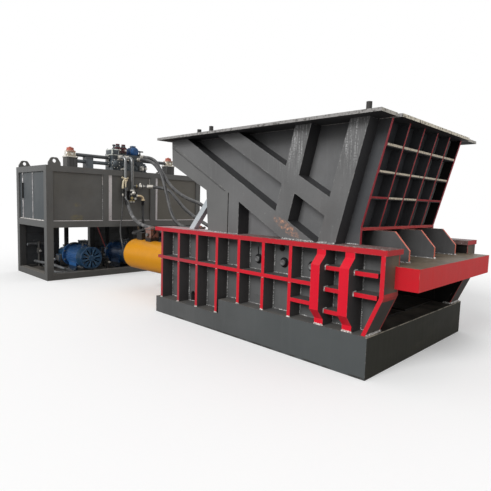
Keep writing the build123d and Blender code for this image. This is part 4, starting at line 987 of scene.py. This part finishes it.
def buildDropFittings():
    bm = bmesh.new()
    x, face, longY, shortY, branchZ = (dropSet[k] for k in ("x", "face", "longY", "shortY", "branchZ"))
    nuts = [
        ((x, longY, 1.898), alongZ, 0.03, 0.044, 0), ((x, longY, 1.932), alongZ, 0.032, 0.048, 1),
        ((x, longY - 0.03, 1.95), (0, -0.9, 0.43), 0.055, 0.02, 1),
        ((x, longY + 0.02, 1.95), (0, 0.9, 0.43), 0.05, 0.017, 1),
        ((x, 0.33, branchZ), alongY, 0.02, 0.032, 3), ((x, 0.395, branchZ), alongY, 0.028, 0.042, 2),
        ((x, 0.428, branchZ), alongY, 0.026, 0.044, 2), ((x, 0.5, branchZ), alongY, 0.02, 0.032, 2),
        ((x, 0.424, branchZ + 0.03), (0, 0.4, 1), 0.04, 0.016, 2), ((x, shortY, 1.7), alongZ, 0.036, 0.052, 2),
        ((face, shortY - 0.05, 1.64), alongX, 0.02, 0.022, 2),
        ((face, 0.205, 1.56), alongX, 0.024, 0.032, 3), ((face, 0.28, 1.55), alongX, 0.022, 0.026, 2),
        ((x, 0.32, 1.61), alongY, 0.034, 0.042, 2), ((x, 0.5, 1.515), alongZ, 0.03, 0.04, 0),
    ]
    for y, wide in ((0.2, 0.036), (0.272, 0.032)):
        nuts += [((x, y, 1.525), -alongZ, 0.03, wide, 3), ((x, y, 1.497), -alongZ, 0.026, wide * 0.8, 2)]
    for nut in nuts:
        hexNut(bm, *nut)
    bentTube(bm, ((x + 0.012, 0.062, 1.93), (x, 0.044, 1.89), (x, 0.032, 1.82), (x, 0.029, 1.748)), 0.022, 14, 1)
    bentTube(bm, ((x + 0.034, 0.086, 1.915), (x + 0.034, 0.078, 1.86), (x + 0.032, 0.074, 1.775)), 0.013, 12, 1)
    size = dropSet["ball"]
    ball = [(-size * math.cos(a), size * math.sin(a)) for a in (0.5, 1.0, 1.5, 2.0, 2.6)]
    turned(bm, (face, shortY + 0.01, 1.666), alongX, [(-size, 0.0), *ball, (size, 0.0)], 22, 2)
    settle("dropFittings", bm, ("brassSkin", "creamFitting", "pipeSteel", "darkBrass"))


# everything bolted to the valve block
valveSet = {
    "front": -4.85, "low": -0.066, "high": 0.654, "top": 2.46, "middle": -5.0, "pipes": (2.371, 2.251),
    "plugs": ((0.12, 2.15), (0.165, 2.16), (0.165, 2.24), (0.3, 2.16), (0.33, 2.3), (0.39, 2.18), (0.42, 2.28),
              (0.48, 2.18), (0.5, 2.28)),
    "flange": ((0, 0.035), (0, 0.068), (0.026, 0.068), (0.03, 0.064), (0.03, 0.035)),
    "farFlange": ((0, 0.035), (0, 0.066), (0.026, 0.066), (0.03, 0.062), (0.03, 0.035)),
    "cover": ((0, 0.098), (0.03, 0.098), (0.036, 0.092), (0.036, 0.076), (0.05, 0.072), (0.066, 0.055),
              (0.074, 0.03), (0.076, 0)),
    "check": ((0, 0.07), (0.02, 0.07), (0.026, 0.05), (0.1, 0.05), (0.11, 0.062), (0.15, 0.062), (0.16, 0.045),
              (0.2, 0.03), (0.2, 0)),
    "knob": ((0, 0.026), (0.03, 0.026), (0.034, 0.018), (0.06, 0.018), (0.064, 0.03), (0.09, 0.03), (0.096, 0.022),
             (0.096, 0)),
    "crown": ((0, 0.05), (0.01, 0.05), (0.014, 0.045), (0.03, 0.045), (0.034, 0.041)),
    "fin": ((0, 0.082), (0.002, 0.094), (0.009, 0.094), (0.011, 0.082)),
    "motorEnd": ((0, 0.08), (0.006, 0.08), (0.014, 0.066), (0.016, 0.04), (0.011, 0.034), (0.011, 0)),
    "stem": ((0, 0.03), (0.02, 0.03), (0.025, 0.014), (0.11, 0.014), (0.116, 0.008), (0.116, 0)),
    "handle": ((0, 0), (0, 0.011), (0.004, 0.015), (0.11, 0.015), (0.114, 0.011), (0.114, 0)),
}


def buildValveTrim():
    bm = bmesh.new()
    front, low, top, middle = (valveSet[k] for k in ("front", "low", "top", "middle"))
    for y in (0.09, 0.24):
        softBlock(bm, (front, y - 0.056, 2.324), (front + 0.026, y + 0.056, 2.436), 0.006)
        boltGrid(bm, (front + 0.026,), (y - 0.04, y + 0.04), (2.34, 2.42), alongX, 0.011, 1)
        hexNut(bm, (front + 0.026, y, 2.38), alongX, 0.022, 0.044, 1)
    for k, (y, z) in enumerate(valveSet["plugs"]):
        hexNut(bm, (front, y, z), alongX, 0.026, 0.024 + 0.005 * (k % 3), 1 if k < 2 else 0)
    for z in valveSet["pipes"]:
        turned(bm, (middle, low, z), -alongY, valveSet["flange"], 28)
        for dx, dz in around(6, 0.053):
            bolt(bm, (middle + dx, low - 0.03, z + dz), -alongY, 0.009, 1)
    turned(bm, (middle, valveSet["high"], valveSet["pipes"][0]), alongY, valveSet["farFlange"], 28)
    # cast body and round cover on the near end of the block
    softBlock(bm, (-5.1, -0.09, 2.42), (-4.83, 0.074, 2.55), 0.02, 2)
    for y in (-0.062, 0.046):
        boltGrid(bm, (-4.83,), (y,), (2.448, 2.522), alongX, 0.012)
        boltGrid(bm, (-5.07, -4.86), (y,), (2.55,), alongZ, 0.012)
    turned(bm, (front, -0.01, 2.25), alongX, valveSet["cover"], 36)
    for dy, dz in around(8, 0.084, 0.5):
        bolt(bm, (front + 0.036, -0.01 + dy, 2.25 + dz), alongX, 0.008, 1)
    # check valve beside the far end
    turned(bm, (-4.93, 0.72, 2.111), alongZ, valveSet["check"], 24)
    hexNut(bm, (-4.88, 0.72, 2.2), alongX, 0.05, 0.032, 1)
    softBlock(bm, (front - 0.01, 0.545, 2.14), (front + 0.05, 0.65, 2.25), 0.01)
    hexNut(bm, (front + 0.05, 0.6, 2.195), alongX, 0.03, 0.036, 1)
    turned(bm, (-4.92, 0.0, 2.55), alongZ, valveSet["knob"], 18)
    # pilot valves: stacked plates, plug and crown
    for y in (0.13, 0.262):
        for z in (2.485, 2.53, 2.575):
            softBlock(bm, (middle - 0.053, y - 0.053, z), (middle + 0.053, y + 0.053, z + 0.024), 0.005, 3)
        softBlock(bm, (middle + 0.05, y - 0.026, 2.515), (middle + 0.094, y + 0.026, 2.572), 0.008, 3)
        hexNut(bm, (middle + 0.094, y, 2.544), alongX, 0.022, 0.017, 1)
        turned(bm, (middle, y, 2.612), alongZ, valveSet["crown"], 26)
    for y in (0.01, 0.62):
        for dx, dy in around(6, 0.046):
            bolt(bm, (middle + dx, y + dy, top + 0.046), alongZ, 0.008, 1)
    # the pilot motor's fins, end and box
    for k in range(8):
        turned(bm, (-5.1 + k * 0.026, 0.476, 2.544), alongX, valveSet["fin"], 32, 4)
    turned(bm, (-4.88, 0.476, 2.544), alongX, valveSet["motorEnd"], 30, 4)
    softBlock(bm, (-5.03, 0.43, 2.62), (-4.93, 0.522, 2.668), 0.008, 4)
    # shut-off with a tee handle beside the far covers
    turned(bm, (-4.9, 0.6, top), alongZ, valveSet["stem"], 18)
    turned(bm, (-4.9, 0.565, top + 0.098), alongY, valveSet["handle"], 14)
    settle("valveTrim", bm, ("blockSteel", "pipeSteel", "valveGreen", "solenoidPaint", "motorBlue"))


# foot plates, collars and side flanges of the return filters
filterSet = {
    "x": -5.0, "places": (-0.8781, 1.4099), "foot": 2.311, "head": 2.436, "pipe": 2.371,
    "collar": ((0, 0.066), (0, 0.073), (0.014, 0.073), (0.018, 0.066)),
    "knob": ((0, 0.058), (0.006, 0.05), (0.008, 0.03), (0.02, 0.022), (0.02, 0)),
    "gauge": ((0, 0.024), (0.012, 0.026), (0.018, 0.024), (0.016, 0.018), (0.016, 0)),
    "flange": ((0, 0.035), (0, 0.052), (0.02, 0.052), (0.024, 0.047), (0.024, 0)),
}


def buildFilterTrim():
    bm = bmesh.new()
    x, foot, head = filterSet["x"], filterSet["foot"], filterSet["head"]
    for y in filterSet["places"]:
        softBlock(bm, (x - 0.11, y - 0.11, foot - 0.01), (x + 0.11, y + 0.11, foot + 0.012), 0.005, 1)
        boltGrid(bm, (x - 0.088, x + 0.088), (y - 0.088, y + 0.088), (foot + 0.012,), alongZ, 0.013, 2)
        softBlock(bm, (x - 0.078, y - 0.078, head - 0.026), (x + 0.078, y + 0.078, head - 0.004), 0.006)
        turned(bm, (x, y, head), alongZ, filterSet["collar"], 30, 3)
        for dx, dy in around(10, 0.068):
            bolt(bm, (x + dx, y + dy, head + 0.012), (dx, dy, 0), 0.006, 3)
        turned(bm, (x, y, head + 0.054), alongZ, filterSet["knob"], 24, 3)
        turned(bm, (x + 0.07, y, head - 0.06), alongX, filterSet["gauge"], 22, 2)
        for side in (-1, 1):
            turned(bm, (x, y + side * 0.0705, filterSet["pipe"]), alongY * side, filterSet["flange"], 26, 2)
    settle("filterTrim", bm, ("filterPaint", "packDark", "pipeSteel", "capPaint"))


# cowl rims and spokes, bolts, lifting eyes, terminal lids and pump feet
motorSet = {
    "places": (-0.60035, 0.3457, 1.29175), "axis": 0.357, "cowl": -4.7, "rear": -5.45, "lid": 0.662, "foot": 0.104,
    "spokes": (0.05, 0.12, 0.19), "spokeTurn": 0.3,
    "hub": ((0, 0.058), (0.004, 0.056), (0.008, 0.046), (0.008, 0.02), (0.005, 0.016), (0.005, 0)),
    "eyeFoot": ((0, 0.024), (0.03, 0.022), (0.036, 0.014), (0.05, 0.012)),
}


def buildMotorTrim():
    bm = bmesh.new()
    axis, cowl, rear, lid = (motorSet[k] for k in ("axis", "cowl", "rear", "lid"))
    for y in motorSet["places"]:
        hoop(bm, (cowl - 0.006, y, axis), alongX, 0.2135, 0.006, 44, 1)
        for k in range(6):
            a = math.tau * k / 6 + motorSet["spokeTurn"]
            spoke = [(cowl + 0.001, y + r * math.sin(a), axis + r * math.cos(a)) for r in motorSet["spokes"]]
            bentTube(bm, spoke, 0.004, 8, 4)
        turned(bm, (cowl, y, axis), alongX, motorSet["hub"], 30)
        for dz, dy in around(6, 0.215, 0.5):
            bolt(bm, (cowl - 0.19, y + dy, axis + dz), (0, dy, dz), 0.009, 2)
        for dz, dy in around(8, 0.236, 0.5):
            bolt(bm, (rear + 0.022, y + dy, axis + dz), alongX, 0.014, 2)
        turned(bm, (-5.08, y, axis + 0.183), alongZ, motorSet["eyeFoot"], 18, 2)
        hoop(bm, (-5.08, y, axis + 0.252), alongY, 0.024, 0.008, 24, 2)
        softBlock(bm, (-5.376, y + 0.029, lid - 0.022), (-5.214, y + 0.191, lid), 0.006, 3)
        boltGrid(bm, (-5.36, -5.23), (y + 0.046, y + 0.174), (lid,), alongZ, 0.007, 2)
        hexNut(bm, (-5.214, y + 0.11, 0.6), alongX, 0.03, 0.022, 2)
        softBlock(bm, (-5.13, y + 0.118, axis + 0.165), (-5.01, y + 0.124, axis + 0.235), 0.002, 2)
        softBlock(bm, (-5.93, y - 0.2, 0.08), (-5.75, y + 0.2, 0.33), 0.01)
        boltGrid(bm, (-5.31, -5.06), (y - 0.178, y + 0.178), (motorSet["foot"],), alongZ, 0.016, 2)
    settle("motorTrim", bm, ("cowlBlue", "motorBlue", "turnedSteel", "gaugeBlack", "paleBlue"))


# seams, gauge and hatch bolts on the tank
tankSet = {
    "end": -1.445, "front": -4.684, "floor": 1.095, "top": 2.0, "corner": -4.774, "left": -1.355, "post": -0.372,
    "hatch": (-5.5225, 1.75246, 2.124), "gaugeX": -5.878,
    "tube": ((0, 0), (0, 0.011), (0.27, 0.011), (0.27, 0)),
}


def buildTankTrim():
    bm = bmesh.new()
    end, front, floor, top = (tankSet[k] for k in ("end", "front", "floor", "top"))
    corner, left, post, gaugeX = (tankSet[k] for k in ("corner", "left", "post", "gaugeX"))
    bead(bm, (-6.046, end, floor), (corner, end, floor), -alongY, alongZ, 0.015, 1)
    bead(bm, (front, left, floor), (front, 1.975, floor), alongX, alongZ, 0.012, 2)
    bead(bm, (corner, end, floor), (corner, end, top), -alongX, -alongY, 0.008)
    bead(bm, (front, left, floor), (front, left, top), alongX, alongY, 0.008)
    # pale upper runs on the front seams: painted highlight where they catch light near the top
    bead(bm, (front, post, 1.8), (front, post, top), alongX, -alongY, 0.014, 1)
    bead(bm, (front, post, floor), (front, post, 1.8), alongX, -alongY, 0.008)
    bead(bm, (front, 0.715, 1.85), (front, 0.715, top), alongX, -alongY, 0.016, 1)
    softBlock(bm, (gaugeX - 0.022, end - 0.012, 1.5), (gaugeX + 0.022, end, 1.8), 0.004, 3)
    turned(bm, (gaugeX, end - 0.014, 1.515), alongZ, tankSet["tube"], 16, 3)
    for z in (1.512, 1.788):
        hexNut(bm, (gaugeX, end - 0.01, z), -alongY, 0.018, 0.016, 3)
    x, y, z = tankSet["hatch"]
    for dx, dy in around(12, 0.17):
        bolt(bm, (x + dx, y + dy, z), alongZ, 0.012)
    settle("tankTrim", bm, ("weldGrey", "weldPale", "stripReflection", "gaugeBlack"))


# lines, valves and small boxes in the bay below the tank; each line is points, radius, steps, finish
baySet = {
    "tray": 0.08,
    "drops": (
        (((-5.5, -0.13, 1.094), (-5.5, -0.056, 0.893), (-5.5, 0.084, 0.537), (-5.5, 0.12, 0.45)), 0.012, 12, 0),
        (((-5.0, 0.58, 1.094), (-5.0, 0.629, 0.932), (-5.0, 0.706, 0.708), (-5.0, 0.72, 0.62)), 0.02, 12, 1),
    ),
    "trayLines": (
        (((-6.0, -1.2, 0.2), (-5.6, -1.18, 0.21), (-5.2, -1.12, 0.2), (-4.98, -1.02, 0.15), (-4.95, -0.9, 0.108)),
         0.028, 14, 4),
        (((-6.0, -1.05, 0.108), (-5.5, -1.1, 0.108), (-5.1, -1.2, 0.106), (-4.9, -1.2, 0.106), (-4.82, -1.08, 0.106),
          (-4.85, -0.9, 0.106)), 0.026, 14, 4),
        (((-6.0, -1.345, 0.555), (-6.0, -1.1, 0.55), (-6.0, -0.8, 0.545)), 0.03, 14, 4),
    ),
    "valveBody": ((-5.06, 0.66, 0.5), (-4.94, 0.78, 0.63), 0.012, 3),
    "valveFoot": ((-5.1, 0.62, 0.08), (-4.9, 0.82, 0.1), 0.006, 3),
    "beamDuct": ((-4.7, 0.75, 0.935), (-4.66, 1.97, 0.976), 0.003, 3),
    "trayBox": ((-5.95, -1.0, 0.08), (-5.7, -0.86, 0.24), 0.015, 3),
    "valves": ((-5.97, -1.12, 0.53), (-5.6, -0.98, 0.3), (-5.2, -0.22, 0.34), (-5.0, -0.1, 0.22),
               (-5.36, -0.02, 0.4)),
    "foot": ((0, 0.06), (0.0016, 0.06)),
    "stem": ((0.024, 0.03), (0.54, 0.03), (0.55, 0.05), (0.72, 0.05), (0.74, 0.03), (0.96, 0.03), (1, 0.02), (1, 0)),
}


def buildBayLines():
    bm = bmesh.new()
    tray = baySet["tray"]
    for line in baySet["drops"]:
        bentTube(bm, *line)
    for y, z in ((-0.128, 1.07), (0.112, 0.47)):
        hexNut(bm, (-5.5, y, z), (0, 0.35, -0.94), 0.03, 0.022, 2)
    hexNut(bm, (-5.0, 0.588, 1.07), (0, 0.3, -0.95), 0.035, 0.032, 2)
    softBlock(bm, *baySet["valveBody"])
    softBlock(bm, *baySet["valveFoot"])
    turned(bm, (-5.0, 0.72, 0.1), alongZ, ((0, 0.05), (0.02, 0.03), (0.4, 0.03)), 18, 3)
    softBlock(bm, *baySet["beamDuct"])
    for line in baySet["trayLines"]:
        bentTube(bm, *line)
    for x, y, tall in baySet["valves"]:
        stem = [*baySet["foot"], *((tall * along, radius) for along, radius in baySet["stem"])]
        turned(bm, (x, y, tray), alongZ, stem, 18, 3)
        hexNut(bm, (x + 0.045, y, tray + tall * 0.63), alongX, 0.035, 0.027, 2)
        lever = ((x, y, tall + 0.07), (x + 0.01, y - 0.05, tall + 0.085), (x + 0.015, y - 0.12, tall + 0.095))
        bentTube(bm, lever, 0.009, 8, 4)
    softBlock(bm, *baySet["trayBox"])
    settle("bayLines", bm, ("pinkPipe", "tanPipe", "pipeSteel", "packDark", "trayGrey"))


# bolted flanges on the cylinder blocks
cylinderSet = {
    "sides": (-0.505, 0.505), "portX": -1.715, "portTop": 1.035, "fillX": -2.745, "fillTop": 1.068,
    "endX": -3.235, "axis": 0.606,
    "cap": ((0, 0.062), (0.012, 0.06), (0.024, 0.044), (0.03, 0.024), (0.03, 0)),
    "band": ((0, 0.088), (0.004, 0.098), (0.018, 0.098), (0.022, 0.088)),
}


def buildCylinderTrim():
    bm = bmesh.new()
    portX, portTop, fillX, fillTop = (cylinderSet[k] for k in ("portX", "portTop", "fillX", "fillTop"))
    for y in cylinderSet["sides"]:
        boltGrid(bm, (portX - 0.0464, portX + 0.0464), (y - 0.034, y + 0.034), (portTop,), alongZ, 0.013)
        hexNut(bm, (portX, y, portTop), alongZ, 0.024, 0.03)
        softBlock(bm, (fillX - 0.09, y - 0.09, 1.045), (fillX + 0.09, y + 0.09, fillTop), 0.006, 1)
        boltGrid(bm, (fillX - 0.07, fillX + 0.07), (y - 0.07, y + 0.07), (fillTop,), alongZ, 0.014)
        turned(bm, (fillX, y, 1.07), alongZ, cylinderSet["cap"], 26, 1)
        for z in (0.93, 1.0):
            turned(bm, (fillX, y, z), alongZ, cylinderSet["band"], 4, 1)
        hexNut(bm, (fillX, y - 0.075, 0.96), -alongY, 0.035, 0.034)
        for dy, dz in around(12, 0.19):
            bolt(bm, (cylinderSet["endX"], y + dy, cylinderSet["axis"] + dz), -alongX, 0.014, 2)
    settle("cylinderTrim", bm, ("turnedSteel", "fillPaint", "yellowPaint"))


smallFinishes()
buildWelds()
buildGuideNuts()
print("welds run")
buildHoseEnds()
buildDropFittings()
buildValveTrim()
buildFilterTrim()
print("fittings on")
buildMotorTrim()
buildTankTrim()
buildBayLines()
buildCylinderTrim()
print("pack trimmed")


# pale floor, one broad soft key from the near side, even sky and a white backdrop
stageSet = {
    "floorSize": 60.0,
    "floorDrop": -0.002,
    "floorRough": 0.9,
    "floorSeen": (0.92, 0.92, 0.92),
    "floorBounce": (0.3, 0.3, 0.3),
    "floorLift": (0.14, 0.14, 0.14),
    "sky": 0.62,
    "key": 2.0,
    "keyFrom": (0.0, -0.85, 0.5),
    "keySpread": 26.0,
}


def buildFloor():
    bm = bmesh.new()
    bmesh.ops.create_grid(bm, x_segments=1, y_segments=1, size=stageSet["floorSize"])
    data = bpy.data.meshes.new("floor")
    bm.to_mesh(data)
    bm.free()
    floor = bpy.data.objects.new("floor", data)
    floor.location.z = stageSet["floorDrop"]
    scene.collection.objects.link(floor)
    s = Sheet("paleFloor")
    seen = s.node("ShaderNodeLightPath", {}, {}, out="Is Camera Ray")
    s.feed(colour=s.mix(seen, stageSet["floorBounce"], stageSet["floorSeen"]), rough=stageSet["floorRough"])
    lift = s.mix(seen, (0, 0, 0), stageSet["floorLift"])
    s.tree.links.new(lift.socket, s.shader.inputs["Emission Color"])
    s.shader.inputs["Emission Strength"].default_value = 1.0
    s.shader.inputs["Specular IOR Level"].default_value = 0.0
    data.materials.append(s.material)


def buildLight():
    world = bpy.data.worlds.new("studio")
    world.use_nodes = True
    scene.world = world
    tree = world.node_tree
    sky = tree.nodes["Background"]
    sky.inputs["Color"].default_value = (1.0, 1.0, 1.0, 1.0)
    sky.inputs["Strength"].default_value = stageSet["sky"]
    backdrop = tree.nodes.new("ShaderNodeBackground")
    backdrop.inputs["Color"].default_value = (1.0, 1.0, 1.0, 1.0)
    backdrop.inputs["Strength"].default_value = 1.0
    path = tree.nodes.new("ShaderNodeLightPath")
    total = path.outputs["Is Camera Ray"]
    for other in ("Is Glossy Ray", "Is Transmission Ray"):
        both = tree.nodes.new("ShaderNodeMath")
        both.operation = "ADD"
        both.use_clamp = True
        tree.links.new(total, both.inputs[0])
        tree.links.new(path.outputs[other], both.inputs[1])
        total = both.outputs[0]
    choice = tree.nodes.new("ShaderNodeMixShader")
    tree.links.new(total, choice.inputs[0])
    tree.links.new(sky.outputs[0], choice.inputs[1])
    tree.links.new(backdrop.outputs[0], choice.inputs[2])
    tree.links.new(choice.outputs[0], tree.nodes["World Output"].inputs["Surface"])
    lamp = bpy.data.lights.new("key", "SUN")
    lamp.energy = stageSet["key"]
    lamp.angle = math.radians(stageSet["keySpread"])
    key = bpy.data.objects.new("key", lamp)
    key.rotation_euler = Vector(stageSet["keyFrom"]).to_track_quat("Z", "Y").to_euler()
    scene.collection.objects.link(key)


buildFloor()
buildLight()
scene.view_settings.view_transform = "Standard"
print("stage set")
